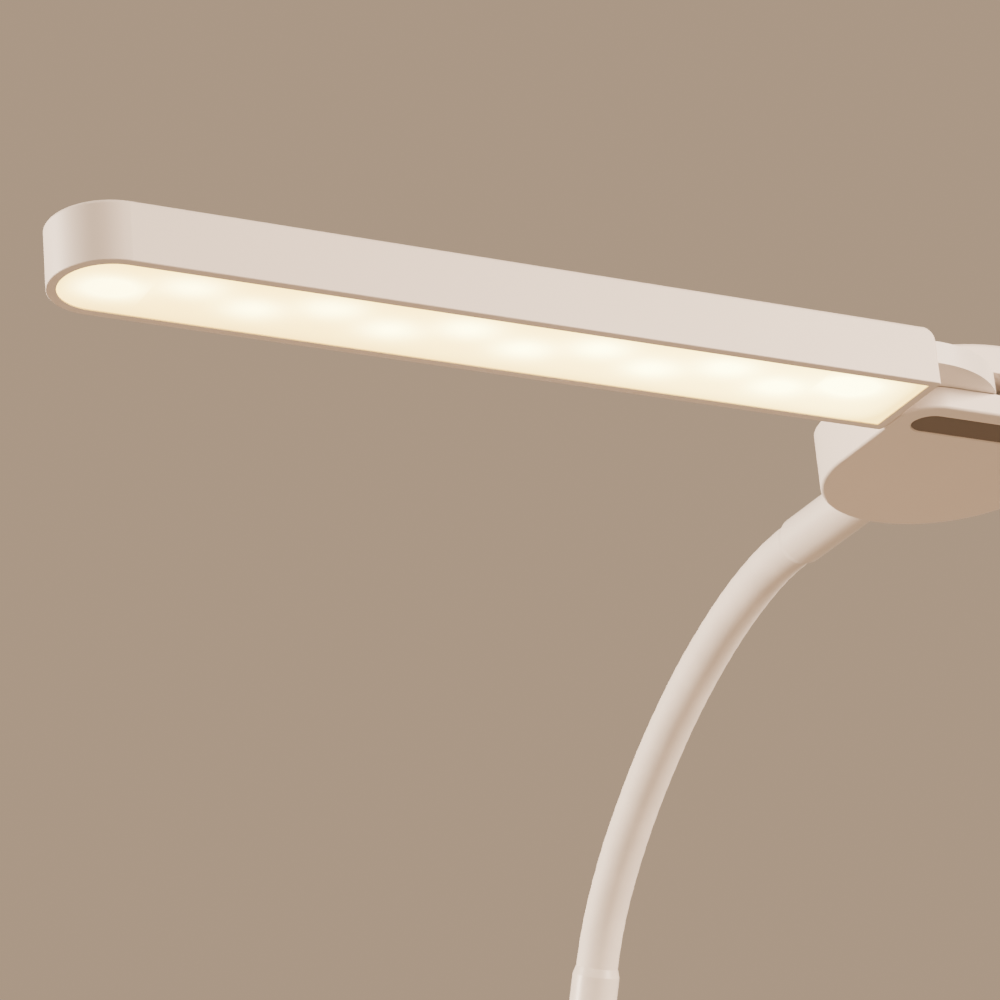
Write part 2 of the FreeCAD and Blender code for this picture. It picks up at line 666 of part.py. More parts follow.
def window_rim(edge):
    """Whether an edge of the tray is the window recess's rim on the underside."""
    reach = Vector(WINDOW_LENGTH / 2 + 2 * FIT, WINDOW_WIDTH / 2 + 2 * FIT, 0)
    bounds = edge.BoundBox
    across = bounds.YMin > PIVOT.y - reach.y and bounds.YMax < PIVOT.y + reach.y
    return at_height(0)(edge) and across and bounds.XMin > -reach.x and bounds.XMax < reach.x


def housing_lower():
    """The tray that forms the housing's underside and the hinge's lower ear."""
    tray = rounded(housing_plan(0, 0, HOUSING_SPLIT), HOUSING_EDGE_ROUND, at_height(0))
    tray = tray.cut(housing_plan(HOUSING_WALL, HOUSING_FLOOR, HOUSING_SPLIT))
    inside = housing_plan(HOUSING_WALL / 2, HOUSING_FLOOR - 0.5, HOUSING_SPLIT)
    deck = about_pivot(CAVITY_RADIUS + DECK_RIM, HOUSING_SPLIT - DECK_THICK, HOUSING_SPLIT).common(inside)
    x, y = housing_screw_place()
    tray = tray.fuse([
        deck,
        about_pivot(BOSS_RADIUS, HOUSING_FLOOR - 0.5, HOUSING_SPLIT).common(inside),
        cylinder(POST_RADIUS + 0.8, x, y, HOUSING_FLOOR - 0.5, HOUSING_SPLIT),
    ])
    tray = tray.cut(window_recess(FIT, WINDOW_DEPTH))
    tray = tray.cut(about_pivot(PIN_HEAD_RADIUS + FIT, WINDOW_DEPTH, PIN_SEAT))
    tray = tray.cut(about_pivot(PIN_RADIUS + FIT / 2, PIN_SEAT, HOUSING_SPLIT))
    screw_seat = WINDOW_DEPTH + SCREW_SEAT_GAP + SCREW_HEAD_THICK
    tray = tray.cut(cylinder(SCREW_HEAD_RADIUS + FIT, x, y, WINDOW_DEPTH, screw_seat))
    tray = tray.cut(cylinder(SCREW_RADIUS + FIT, x, y, screw_seat, HOUSING_SPLIT))
    tray = tray.cut(cylinder(SENSOR_RADIUS, SENSOR_X, PIVOT.y, WINDOW_DEPTH, HOUSING_FLOOR))
    tray = tray.cut(in_head_far_wall(ferrule_pocket(UPPER_FERRULE_RADIUS)))
    return chamfered(tray.removeSplitter(), WINDOW_BORDER, window_rim)


def slot_cut():
    """The hinge cavity and its openings in the left and near walls."""
    slot = about_pivot(CAVITY_RADIUS, HOUSING_SPLIT, SLOT_TOP)
    wall_stays = box(
        (-HOUSING_RADIUS - 1, PIVOT.y + TONGUE_FAR + 0.5, HOUSING_SPLIT),
        (-HOUSING_RADIUS + HOUSING_WALL, PIVOT.y + CAVITY_RADIUS + 1, SLOT_TOP),
    )
    return slot.cut(wall_stays)


def board_posts():
    """Where the control board is screwed to the upper shell."""
    return [(side * (CONTROL_BOARD[0] / 2 - POST_RADIUS), BUTTON_Y) for side in (-1, 1)]


def housing_upper():
    """The crowned shell, with the hinge's upper ear and the posts inside it."""
    outer = housing_plan(0, HOUSING_SPLIT, HOUSING_TOP + 5).common(crown(0))
    above_side = lambda e: e.BoundBox.ZMin > HOUSING_SIDE - 1e-3 and not upright(e)
    outer = rounded(outer, HOUSING_TOP_ROUND, above_side)
    hollow = housing_plan(HOUSING_WALL, HOUSING_SPLIT, HOUSING_TOP + 5).common(crown(HOUSING_WALL))
    shell = outer.cut(hollow)
    x, y = housing_screw_place()
    board_top = CONTROL_BOARD_Z + CONTROL_BOARD[2]
    skirt = about_pivot(CAVITY_RADIUS + DECK_RIM, HOUSING_SPLIT, SLOT_TOP + DECK_THICK)
    inner_parts = [
        skirt.cut(about_pivot(CAVITY_RADIUS, HOUSING_SPLIT, SLOT_TOP)),
        about_pivot(BOSS_RADIUS, SLOT_TOP, HOUSING_TOP),
        cylinder(POST_RADIUS + 0.8, x, y, HOUSING_SPLIT, HOUSING_TOP),
        box(
            (-NUT_WALL_HALF, HOUSING_RADIUS - FERRULE_SEAT - STUB_WALL, HOUSING_SPLIT),
            (NUT_WALL_HALF, HOUSING_RADIUS, HOUSING_TOP),
        ),
    ]
    inner_parts += [cylinder(POST_RADIUS, px, py, board_top, HOUSING_TOP) for px, py in board_posts()]
    half_wall = housing_plan(HOUSING_WALL / 2, HOUSING_SPLIT, HOUSING_TOP).common(crown(HOUSING_WALL / 2))
    room = hollow.fuse(half_wall)
    shell = shell.fuse([part.common(room) for part in inner_parts])
    shell = shell.cut(slot_cut())
    shell = shell.cut(about_pivot(PIN_THREAD_RADIUS, SLOT_TOP, HOUSING_SIDE + 0.3))
    shell = shell.cut(cylinder(SCREW_RADIUS, x, y, HOUSING_SPLIT, HOUSING_SIDE))
    for px, py in board_posts():
        shell = shell.cut(cylinder(SCREW_RADIUS, px, py, board_top, board_top + 4.2))
    shell = shell.cut(in_head_far_wall(ferrule_pocket(UPPER_FERRULE_RADIUS)))
    shell = shell.cut(in_head_far_wall(stub_hole()))
    for side in (-1, 1):
        hole = cylinder(BUTTON_RADIUS + BUTTON_GAP, side * BUTTON_X, BUTTON_Y, board_top, HOUSING_TOP + 1)
        shell = shell.cut(hole)
    return shell.removeSplitter()


def sensor_window():
    """The smoked window that covers the sensor, the pivot pin and the housing screw."""
    pane = stadium(WINDOW_LENGTH, WINDOW_WIDTH, Vector(0, PIVOT.y, 0), WINDOW_RECESS, WINDOW_DEPTH)
    return chamfered(pane, 0.2, at_height(WINDOW_RECESS))


def sensor_board():
    """The small board with the sensor's dome over the hole in the tray."""
    width, depth, thick = SENSOR_BOARD
    low = HOUSING_FLOOR + FIT
    board = box(
        (SENSOR_X - width / 2, PIVOT.y - depth / 2, low),
        (SENSOR_X + width / 2, PIVOT.y + depth / 2, low + thick),
    )
    eye = cylinder(SENSOR_RADIUS - 0.3, SENSOR_X, PIVOT.y, WINDOW_DEPTH + SCREW_SEAT_GAP, low)
    return board.fuse(eye).removeSplitter()


def housing_screw():
    """The screw that joins tray and shell at the window's right end."""
    x, y = housing_screw_place()
    seat = WINDOW_DEPTH + SCREW_SEAT_GAP + SCREW_HEAD_THICK
    return screw(x, y, seat, HOUSING_SIDE - 1 - seat)


def control_board():
    """The board under the buttons, with its driver chip and its plug socket."""
    width, depth, thick = CONTROL_BOARD
    low = CONTROL_BOARD_Z
    board = box((-width / 2, BUTTON_Y - depth / 2, low), (width / 2, BUTTON_Y + depth / 2, low + thick))
    for x, (length, across, height) in ((0, CONTROL_CHIP), (CONTROL_PLUG_X, CONTROL_PLUG)):
        near, far = BUTTON_Y - across / 2, BUTTON_Y + across / 2
        part = box((x - length / 2, near, low - height), (x + length / 2, far, low))
        board = board.fuse(part)
    for px, py in board_posts():
        board = board.cut(cylinder(SCREW_RADIUS, px, py, low, low + thick))
    return board.removeSplitter()


def control_board_screws():
    """The two screws that hold the control board up to its posts."""
    length = CONTROL_BOARD[2] + 4
    return Part.makeCompound([screw(px, py, CONTROL_BOARD_Z, length) for px, py in board_posts()])


def button_switches():
    """The tactile switch under each button."""
    base = CONTROL_BOARD_Z + CONTROL_BOARD[2]
    half = SWITCH_SIZE / 2
    switches = []
    for side in (-1, 1):
        x = side * BUTTON_X
        can = box((x - half, BUTTON_Y - half, base), (x + half, BUTTON_Y + half, base + SWITCH_HEIGHT))
        can = rounded(can, 0.5, upright)
        top = base + SWITCH_HEIGHT + PLUNGER_HEIGHT
        switches.append(can.fuse(cylinder(PLUNGER_RADIUS, x, BUTTON_Y, base + SWITCH_HEIGHT, top)))
    return Part.makeCompound(switches)


def button_cap(side):
    """One push button: cap through the shell, flange inside it, stem over its switch."""
    x = side * BUTTON_X
    outer_edge = BUTTON_X + BUTTON_RADIUS + BUTTON_FLANGE_RIM
    crown_rise = math.sqrt((CROWN_RADIUS - HOUSING_WALL) ** 2 - outer_edge ** 2)
    flange_top = HOUSING_TOP - CROWN_RADIUS + crown_rise - BUTTON_GAP
    top = HOUSING_TOP + BUTTON_PROUD
    plunger_top = CONTROL_BOARD_Z + CONTROL_BOARD[2] + SWITCH_HEIGHT + PLUNGER_HEIGHT
    cap = cylinder(BUTTON_RADIUS, x, BUTTON_Y, flange_top, top)
    cap = rounded(cap, BUTTON_ROUND, at_height(top))
    dish = Part.makeSphere(BUTTON_DISH, Vector(x, BUTTON_Y, top + BUTTON_DISH - BUTTON_DISH_DEPTH))
    cap = cap.cut(dish)
    flange = cylinder(BUTTON_RADIUS + BUTTON_FLANGE_RIM, x, BUTTON_Y, flange_top - BUTTON_FLANGE, flange_top)
    stem_low = plunger_top + BUTTON_TRAVEL + FIT
    stem = cylinder(PLUNGER_RADIUS + BUTTON_STEM_RIM, x, BUTTON_Y, stem_low, flange_top)
    return cap.fuse([flange, stem]).removeSplitter()


# ---- Clip: upper half -------------------------------------------------------------------------------
def clip_plan(inset, low, high):
    """The clip's outline, inset all round, as a block with rounded corners."""
    width = CLIP_WIDTH - 2 * inset
    return rounded_box(width, -CLIP_FRONT + inset, CLIP_REAR - inset, CLIP_CORNER - inset, low, high)


def clip_screw_places():
    """Where the four screws join base and cover."""
    return [(side * CLIP_SCREW_X, y) for side in (-1, 1) for y in CLIP_SCREW_Y]


def pad_block(grow, low, high):
    """A jaw pad's outline, grown all round, as a prism."""
    width, depth, _ = PAD_SIZE
    return rounded_box(width + 2 * grow, -depth / 2 - grow, depth / 2 + grow, PAD_CORNER + grow, low, high)


def upper_jaw_pad():
    """The soft pad on the fixed jaw; its face is the lamp's mounting face."""
    return pad_block(0, 0, PAD_SIZE[2])


def lower_jaw_pad():
    """The soft pad on the moving jaw."""
    return pad_block(0, -JAW_GAP - PAD_SIZE[2], -JAW_GAP)


def ear(side, inner, thick, radius, top):
    """A hinge ear about the clip's pin, carried up to a height."""
    low, high = sorted((side * inner, side * (inner + thick)))
    disc = cross_cylinder(radius, HINGE_Y, HINGE_Z, low, high)
    web = box((low, HINGE_Y - radius, HINGE_Z), (high, HINGE_Y + radius, top))
    return disc.fuse(web)


def inlet_place():
    """Low corner of the inlet's body, which ends flush with the clip's rear wall."""
    width, depth, thick = INLET_SIZE
    return Vector(-width / 2, CLIP_REAR - depth, CHARGE_BOARD_TOP)


def inlet_body(grow):
    """The inlet's rounded outline, grown by a clearance and open to the rear."""
    width, depth, thick = INLET_SIZE
    low = inlet_place()
    block = box(
        (low.x - grow, low.y - grow, low.z - grow),
        (low.x + width + grow, low.y + depth, low.z + thick + grow),
    )
    along = lambda e: e.BoundBox.XLength < 1e-6 and e.BoundBox.ZLength < 1e-6
    return rounded(block, thick / 2 + grow - 0.05, along)


def clip_base():
    """The clip's fixed half: floor, side walls, hinge ears and jaw stops."""
    base = chamfered(clip_plan(0, CLIP_UNDER, CLIP_SPLIT), CLIP_BASE_CHAMFER, at_height(CLIP_UNDER))
    base = base.cut(clip_plan(CLIP_WALL, CLIP_FLOOR, CLIP_SPLIT))
    for side in (-1, 1):
        base = base.fuse(ear(side, EAR_INNER, EAR_THICK, EAR_RADIUS, CLIP_UNDER + 1))
        x = side * (JAW_WIDTH / 2 - STOP_SIZE / 2)
        half = STOP_SIZE / 2
        y = HINGE_Y - HANDLE_CLEAR - STOP_SIZE
        base = base.fuse(box((x - half, y - half, JAW_TOP + STOP_GAP), (x + half, y + half, CLIP_UNDER + 1)))
    for x, y in board_rests():
        rest = cylinder(BOARD_REST_RADIUS, x, y, CLIP_FLOOR - 0.5, CLIP_FLOOR + CHARGE_BOARD_LIFT)
        base = base.fuse(rest)
    base = base.cut(pad_block(FIT, CLIP_UNDER, PAD_SIZE[2]))
    base = base.cut(cross_cylinder(HINGE_PIN_RADIUS, HINGE_Y, HINGE_Z, -CLIP_WIDTH, CLIP_WIDTH))
    for x, y in clip_screw_places():
        seat = CLIP_UNDER + SCREW_HEAD_THICK + SCREW_SEAT_GAP
        base = base.cut(cylinder(SCREW_HEAD_RADIUS + FIT, x, y, CLIP_UNDER, seat))
        base = base.cut(cylinder(SCREW_RADIUS + FIT, x, y, seat, CLIP_FLOOR))
    base = base.cut(inlet_body(FIT))
    return base.removeSplitter()


def board_rests():
    """Where the charge board rests on the base's floor."""
    middle = CHARGE_BOARD_REAR - CHARGE_BOARD[1] / 2
    across, along = BOARD_REST
    return [(sx * across, middle + sy * along) for sx in (-1, 1) for sy in (-1, 1)]


def neck_boss(radius, low, high):
    """A cylinder on the neck's axis at the clip, measured from the boss's mouth."""
    mouth = Vector(0, *BOSS_MOUTH)
    return Part.makeCylinder(radius, high - low, mouth + heading(LEAN) * low, heading(LEAN))


def clip_cover():
    """The lid with the neck's boss and the four screw posts."""
    outer = clip_plan(0, CLIP_SPLIT, CLIP_TOP)
    outer = rounded(outer, CLIP_TOP_ROUND, at_height(CLIP_TOP))
    hollow = clip_plan(CLIP_WALL, CLIP_SPLIT, CLIP_TOP - CLIP_WALL)
    cover = outer.cut(hollow)
    ceiling = CLIP_TOP - CLIP_WALL + 0.5
    posts = [cylinder(POST_RADIUS, x, y, CLIP_FLOOR + FIT, ceiling) for x, y in clip_screw_places()]
    above_floor = clip_plan(CLIP_WALL + FIT, CLIP_FLOOR + FIT, ceiling)
    boss = neck_boss(BOSS_OUTER, -CLIP_TOP, 0)
    above_lid = box((-CLIP_WIDTH, 0, CLIP_TOP - CLIP_WALL - 4), (CLIP_WIDTH, 2 * HINGE_Y, CLIP_TOP * 2))
    boss = boss.common(above_lid)
    mouth_edge = lambda e: e.BoundBox.ZMax > BOSS_MOUTH[1] + 3 and e.BoundBox.ZMin > CLIP_TOP - 1
    boss = chamfered(boss, BOSS_CHAMFER, mouth_edge)
    cover = cover.fuse([post.common(above_floor) for post in posts] + [boss])
    cover = cover.cut(neck_boss(NUT_FLATS / math.sqrt(3) + 1, -40, -FERRULE_SEAT - STUB_WALL))
    cover = cover.cut(neck_boss(STUB_RADIUS + FIT / 2, -20, 0))
    cover = cover.cut(neck_boss(LOWER_FERRULE_RADIUS + FIT / 2, -FERRULE_SEAT, 10))
    for x, y in clip_screw_places():
        cover = cover.cut(cylinder(SCREW_RADIUS, x, y, CLIP_FLOOR, ceiling - 1))
    cover = cover.cut(cylinder(LIGHT_PIPE_RADIUS, 0, LIGHT_PIPE_Y, CLIP_SPLIT, CLIP_TOP + 1))
    cover = cover.cut(inlet_body(FIT))
    return cover.removeSplitter()


def light_pipe():
    """The clear rod that shows the charge light."""
    y = LIGHT_PIPE_Y
    rod = cylinder(LIGHT_PIPE_RADIUS, 0, y, CHARGE_BOARD_TOP + 1.5, CLIP_TOP)
    return rod.fuse(cylinder(LIGHT_PIPE_RADIUS + 1, 0, y, CLIP_TOP - CLIP_WALL - 1.2, CLIP_TOP - CLIP_WALL))


def clip_screws():
    """The four screws from the base up into the cover's posts."""
    seat = CLIP_UNDER + SCREW_HEAD_THICK + SCREW_SEAT_GAP
    return Part.makeCompound([screw(x, y, seat, CLIP_SPLIT + 3 - seat) for x, y in clip_screw_places()])


def battery_cell():
    """The flat rechargeable cell in the jaw's half of the clip."""
    width, depth, thick = BATTERY
    front = -CLIP_FRONT + CLIP_WALL + 2
    cell = box((-width / 2, front, CLIP_FLOOR + FIT), (width / 2, front + depth, CLIP_FLOOR + FIT + thick))
    return rounded(cell, BATTERY_ROUND, lambda e: e.BoundBox.YLength > depth - 1)


def charge_board():
    """The charging board in the handle's half of the clip."""
    width, depth, thick = CHARGE_BOARD
    front = CHARGE_BOARD_REAR - depth
    top = CHARGE_BOARD_TOP
    board = box((-width / 2, front, top - thick), (width / 2, CHARGE_BOARD_REAR, top))
    across, along, height = CHARGE_CHIP
    chip = box((-across / 2, front + 3, top), (across / 2, front + 3 + along, top + height))
    return board.fuse(chip).removeSplitter()


def usb_c_inlet():
    """The charging inlet: a shell with a rounded mouth and the tongue inside it."""
    width, depth, thick = INLET_SIZE
    low = inlet_place()
    mouth_low = Vector(low.x + INLET_SHELL, low.y + 1.5, low.z + INLET_SHELL)
    mouth = box(
        (mouth_low.x, mouth_low.y, mouth_low.z),
        (low.x + width - INLET_SHELL, low.y + depth + 1, low.z + thick - INLET_SHELL),
    )
    along = lambda e: e.BoundBox.XLength < 1e-6 and e.BoundBox.ZLength < 1e-6
    mouth = rounded(mouth, thick / 2 - INLET_SHELL - 0.05, along)
    middle = low.z + thick / 2
    across, blade_thick = INLET_BLADE
    blade = box(
        (-across / 2, low.y + 1, middle - blade_thick / 2),
        (across / 2, low.y + depth - 1.2, middle + blade_thick / 2),
    )
    return inlet_body(0).cut(mouth).fuse(blade)


# ---- Clip: hinge and lower half -----------------------------------------------------------------------
def clip_hinge_pin():
    """The steel pin with a head at one end and a groove's ring at the other."""
    outer = EAR_INNER + EAR_THICK
    pin = cross_cylinder(HINGE_PIN_RADIUS, HINGE_Y, HINGE_Z, -outer, outer + CLIP_RING_THICK + 0.8)
    return pin.fuse(cross_cylinder(PIN_HEAD, HINGE_Y, HINGE_Z, -outer - PIN_HEAD_LENGTH, -outer))


def pin_ring():
    """The retaining ring on the pin's plain end."""
    low = EAR_INNER + EAR_THICK + 0.05
    ring = cross_cylinder(CLIP_RING_RADIUS, HINGE_Y, HINGE_Z, low, low + CLIP_RING_THICK)
    ring = ring.cut(cross_cylinder(HINGE_PIN_RADIUS, HINGE_Y, HINGE_Z, low, low + CLIP_RING_THICK))
    mouth = box(
        (low, HINGE_Y - CLIP_RING_MOUTH, HINGE_Z),
        (low + CLIP_RING_THICK, HINGE_Y + CLIP_RING_MOUTH, HINGE_Z + CLIP_RING_RADIUS + 1),
    )
    return ring.cut(mouth)


def about_hinge(shape, angle):
    """Turns a shape about the clip's pin."""
    turned = shape.copy()
    turned.rotate(Vector(0, HINGE_Y, HINGE_Z), Vector(1, 0, 0), angle)
    return turned


def clip_spring():
    """The torsion spring: a coil about the pin, one leg on the base and one on the handle."""
    first = 90.0 + SPRING_LIFT
    last = 270.0 - HANDLE_ANGLE + 360.0 * SPRING_TURNS
    height = SPRING_PITCH * (last - first) / 360.0
    start = Vector(SPRING_COIL, 0, 0)
    wire = Part.Wire(Part.makeCircle(SPRING_WIRE, start, Vector(0, 1, 0)))
    coil = Part.Wire(Part.makeHelix(SPRING_PITCH, height, SPRING_COIL)).makePipeShell([wire], True, True)
    end = Rotation(Vector(0, 0, 1), last - first).multVec(start) + Vector(0, 0, height)
    end_way = Rotation(Vector(0, 0, 1), last - first).multVec(Vector(0, 1, 0))
    spring = coil.fuse([
        Part.makeCylinder(SPRING_WIRE, SPRING_LEG, start, Vector(0, -1, 0)),
        Part.makeCylinder(SPRING_WIRE, SPRING_LEG, end, end_way),
    ])
    spring.rotate(Vector(0, 0, 0), Vector(0, 0, 1), first)
    spring.translate(Vector(0, 0, -height / 2))
    spring.rotate(Vector(0, 0, 0), Vector(1, 1, 1), 120)
    spring.translate(Vector(0, HINGE_Y, HINGE_Z))
    return spring


def jaw_profile():
    """The lower half's side profile as a face in the plane x = 0."""
    tip = -CLIP_FRONT
    slope = math.radians(HANDLE_ANGLE)
    down = Vector(0, math.cos(slope), -math.sin(slope))
    out = Vector(0, -math.sin(slope), -math.cos(slope))
    pin = Vector(0, HINGE_Y, HINGE_Z)
    upper, under = out * HANDLE_OFFSET, out * (HANDLE_OFFSET + HANDLE_THICK)
    points = [
        Vector(0, tip, JAW_TOP),
        Vector(0, HINGE_Y, JAW_TOP),
        pin + upper,
        pin + upper + down * HANDLE_LENGTH,
        pin + under + down * HANDLE_LENGTH,
        pin + under,
        pin + Vector(0, -JAW_EAR_RADIUS, -HANDLE_OFFSET - HANDLE_THICK),
        Vector(0, tip, JAW_TOP - JAW_THICK / 2),
    ]
    return Part.Face(Part.makePolygon(points + points[:1]))


def lower_jaw():
    """The moving half: jaw, hinge ears and handle in one moulding."""
    half = JAW_WIDTH / 2
    profile = jaw_profile()
    profile.translate(Vector(-half, 0, 0))
    body = profile.extrude(Vector(JAW_WIDTH, 0, 0))
    body = rounded(body, CLIP_CORNER - 1, lambda e: upright(e) and e.BoundBox.YMax < -CLIP_FRONT + 1e-3)
    handle_end = HINGE_Y + HANDLE_LENGTH * math.cos(math.radians(HANDLE_ANGLE)) - HANDLE_THICK - 4
    handle_corner = lambda e: e.BoundBox.XLength < 1e-6 and e.BoundBox.YMin > handle_end
    body = rounded(body, CLIP_CORNER - 1, handle_corner)
    narrow = JAW_EAR_INNER + JAW_EAR_THICK
    for side in (-1, 1):
        low, high = sorted((side * narrow, side * (half + 1)))
        body = body.cut(cross_cylinder(HANDLE_CLEAR, HINGE_Y, HINGE_Z, low, high))
    coil_room = SPRING_COIL + SPRING_WIRE + SPRING_CLEAR
    body = body.cut(cross_cylinder(coil_room, HINGE_Y, HINGE_Z, -JAW_EAR_INNER, JAW_EAR_INNER))
    for side in (-1, 1):
        low, high = sorted((side * JAW_EAR_INNER, side * narrow))
        body = body.fuse(cross_cylinder(JAW_EAR_RADIUS, HINGE_Y, HINGE_Z, low, high))
    body = body.cut(cross_cylinder(HINGE_PIN_RADIUS + RUNNING, HINGE_Y, HINGE_Z, -half, half))
    body = body.cut(pad_block(FIT, -JAW_GAP - PAD_SIZE[2], JAW_TOP))
    body = body.cut(grip_block(FIT))
    return body.removeSplitter()


def grip_block(grow):
    """The grip's block under the handle, let in by half its thickness."""
    width = JAW_WIDTH - 2 * GRIP_INSET + 2 * grow
    block = rounded_box(width, -GRIP_LENGTH - grow, grow, GRIP_CORNER, 0, GRIP_THICK)
    drop = HANDLE_OFFSET + HANDLE_THICK + GRIP_THICK / 2
    block.translate(Vector(0, HINGE_Y + HANDLE_LENGTH - GRIP_END, HINGE_Z - drop))
    return about_hinge(block, -HANDLE_ANGLE)


def handle_grip():
    """The soft grip under the handle."""
    return grip_block(0)


# ---- The sub-parts --------------------------------------------------------------------------------
def in_head(shape):
    """Moves a shape from the head's own frame to its place at the top of the neck."""
    placed = shape.copy()
    placed.translate(HEAD)
    return placed


def upper_ferrule_place(shape):
    """Places a ferrule shape in the head housing's far wall."""
    return in_head(in_head_far_wall(shape))


def lower_ferrule_place(shape):
    """Places a ferrule shape in the clip's neck boss."""
    return at_ferrule(shape, Vector(0, *BOSS_MOUTH), LEAN)


PIECES = {
    "bar_housing": in_head(bar_housing()),
    "bar_diffuser": in_head(bar_diffuser()),
    "bar_heat_plate": in_head(bar_heat_plate()),
    "led_board": in_head(led_board()),
    "led_chips": in_head(led_chips()),
    "led_board_screws": in_head(board_screws()),
    "hinge_tongue": in_head(hinge_tongue()),
    "tongue_screws": in_head(tongue_screws()),
    "hinge_bush": in_head(hinge_bush()),
    "hinge_pin": in_head(hinge_pin()),
    "hinge_friction_washers": in_head(hinge_washers()),
    "housing_lower_tray": in_head(housing_lower()),
    "housing_upper_shell": in_head(housing_upper()),
    "housing_screw": in_head(housing_screw()),
    "sensor_window": in_head(sensor_window()),
    "sensor_board": in_head(sensor_board()),
    "control_board": in_head(control_board()),
    "control_board_screws": in_head(control_board_screws()),
    "button_switches": in_head(button_switches()),
    "power_button": in_head(button_cap(-1)),
    "dimmer_button": in_head(button_cap(1)),
    "upper_ferrule": upper_ferrule_place(ferrule(UPPER_FERRULE_RADIUS, UPPER_FERRULE_LENGTH)),
    "upper_ferrule_nut": upper_ferrule_place(ferrule_nut()),
    "lower_ferrule": lower_ferrule_place(ferrule(LOWER_FERRULE_RADIUS, LOWER_FERRULE_LENGTH)),
    "lower_ferrule_nut": lower_ferrule_place(ferrule_nut()),
    "clip_base": clip_base(),
    "clip_cover": clip_cover(),
    "clip_screws": clip_screws(),
    "clip_hinge_pin": clip_hinge_pin(),
    "clip_pin_ring": pin_ring(),
    "clip_spring": clip_spring(),
    "clip_lower_jaw": lower_jaw(),
    "upper_jaw_pad": upper_jaw_pad(),
    "lower_jaw_pad": lower_jaw_pad(),
    "handle_grip": handle_grip(),
    "battery_cell": battery_cell(),
    "charge_board": charge_board(),
    "usb_c_inlet": usb_c_inlet(),
    "charge_light_pipe": light_pipe(),
}
for number in range(len(NECK_TURNS)):
    PIECES[f"neck_hose_{number + 1}"] = neck_hose(number)
    PIECES[f"neck_sleeve_{number + 1}"] = neck_sleeve(number)

for name, piece in PIECES.items():
    piece.exportStep(f"parts/{name}.step")
    print(f"{name}: {len(piece.Solids)} solid(s), {piece.Volume:.0f} mm3, valid {piece.isValid()}")
for number, (point, lean) in enumerate(STATIONS):
    print(f"neck station {number}: y {point.y:.2f}, z {point.z:.2f}, lean {lean:.1f} degrees")
print(f"head frame origin: y {HEAD.y:.2f}, z {HEAD.z:.2f}; pivot x {PIVOT.x:.2f}, y {PIVOT.y + HEAD.y:.2f}")
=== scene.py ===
import json
import logging
import math
from dataclasses import dataclass
from enum import Enum
from typing import Iterable, Union

import bmesh
import bpy
from mathutils import Matrix, Vector


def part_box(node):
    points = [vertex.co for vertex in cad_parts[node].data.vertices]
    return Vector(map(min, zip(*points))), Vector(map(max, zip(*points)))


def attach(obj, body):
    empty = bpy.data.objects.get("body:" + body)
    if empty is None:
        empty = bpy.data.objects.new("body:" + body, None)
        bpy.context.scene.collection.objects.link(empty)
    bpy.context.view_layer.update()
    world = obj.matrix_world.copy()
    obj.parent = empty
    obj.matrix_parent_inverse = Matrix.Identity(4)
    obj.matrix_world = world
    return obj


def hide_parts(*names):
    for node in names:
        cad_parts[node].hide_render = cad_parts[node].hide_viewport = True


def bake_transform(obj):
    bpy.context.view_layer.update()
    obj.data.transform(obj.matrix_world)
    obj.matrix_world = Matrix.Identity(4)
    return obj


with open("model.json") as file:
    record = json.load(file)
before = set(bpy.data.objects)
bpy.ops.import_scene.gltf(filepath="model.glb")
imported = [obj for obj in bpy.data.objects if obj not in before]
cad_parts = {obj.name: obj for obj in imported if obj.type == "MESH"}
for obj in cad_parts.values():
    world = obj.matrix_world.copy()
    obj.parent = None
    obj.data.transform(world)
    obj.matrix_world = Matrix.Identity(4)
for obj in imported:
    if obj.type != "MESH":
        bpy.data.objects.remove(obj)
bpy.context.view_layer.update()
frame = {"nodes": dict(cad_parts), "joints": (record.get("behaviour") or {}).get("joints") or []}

log = logging.getLogger("reading_lamp")
MM = 0.001
Colour = tuple[float, float, float]
Number = Union[float, "Field"]
BOX_FACES = ((0, 1, 2, 3), (4, 5, 6, 7), (0, 1, 5, 4), (1, 2, 6, 5), (2, 3, 7, 6), (3, 0, 4, 7))


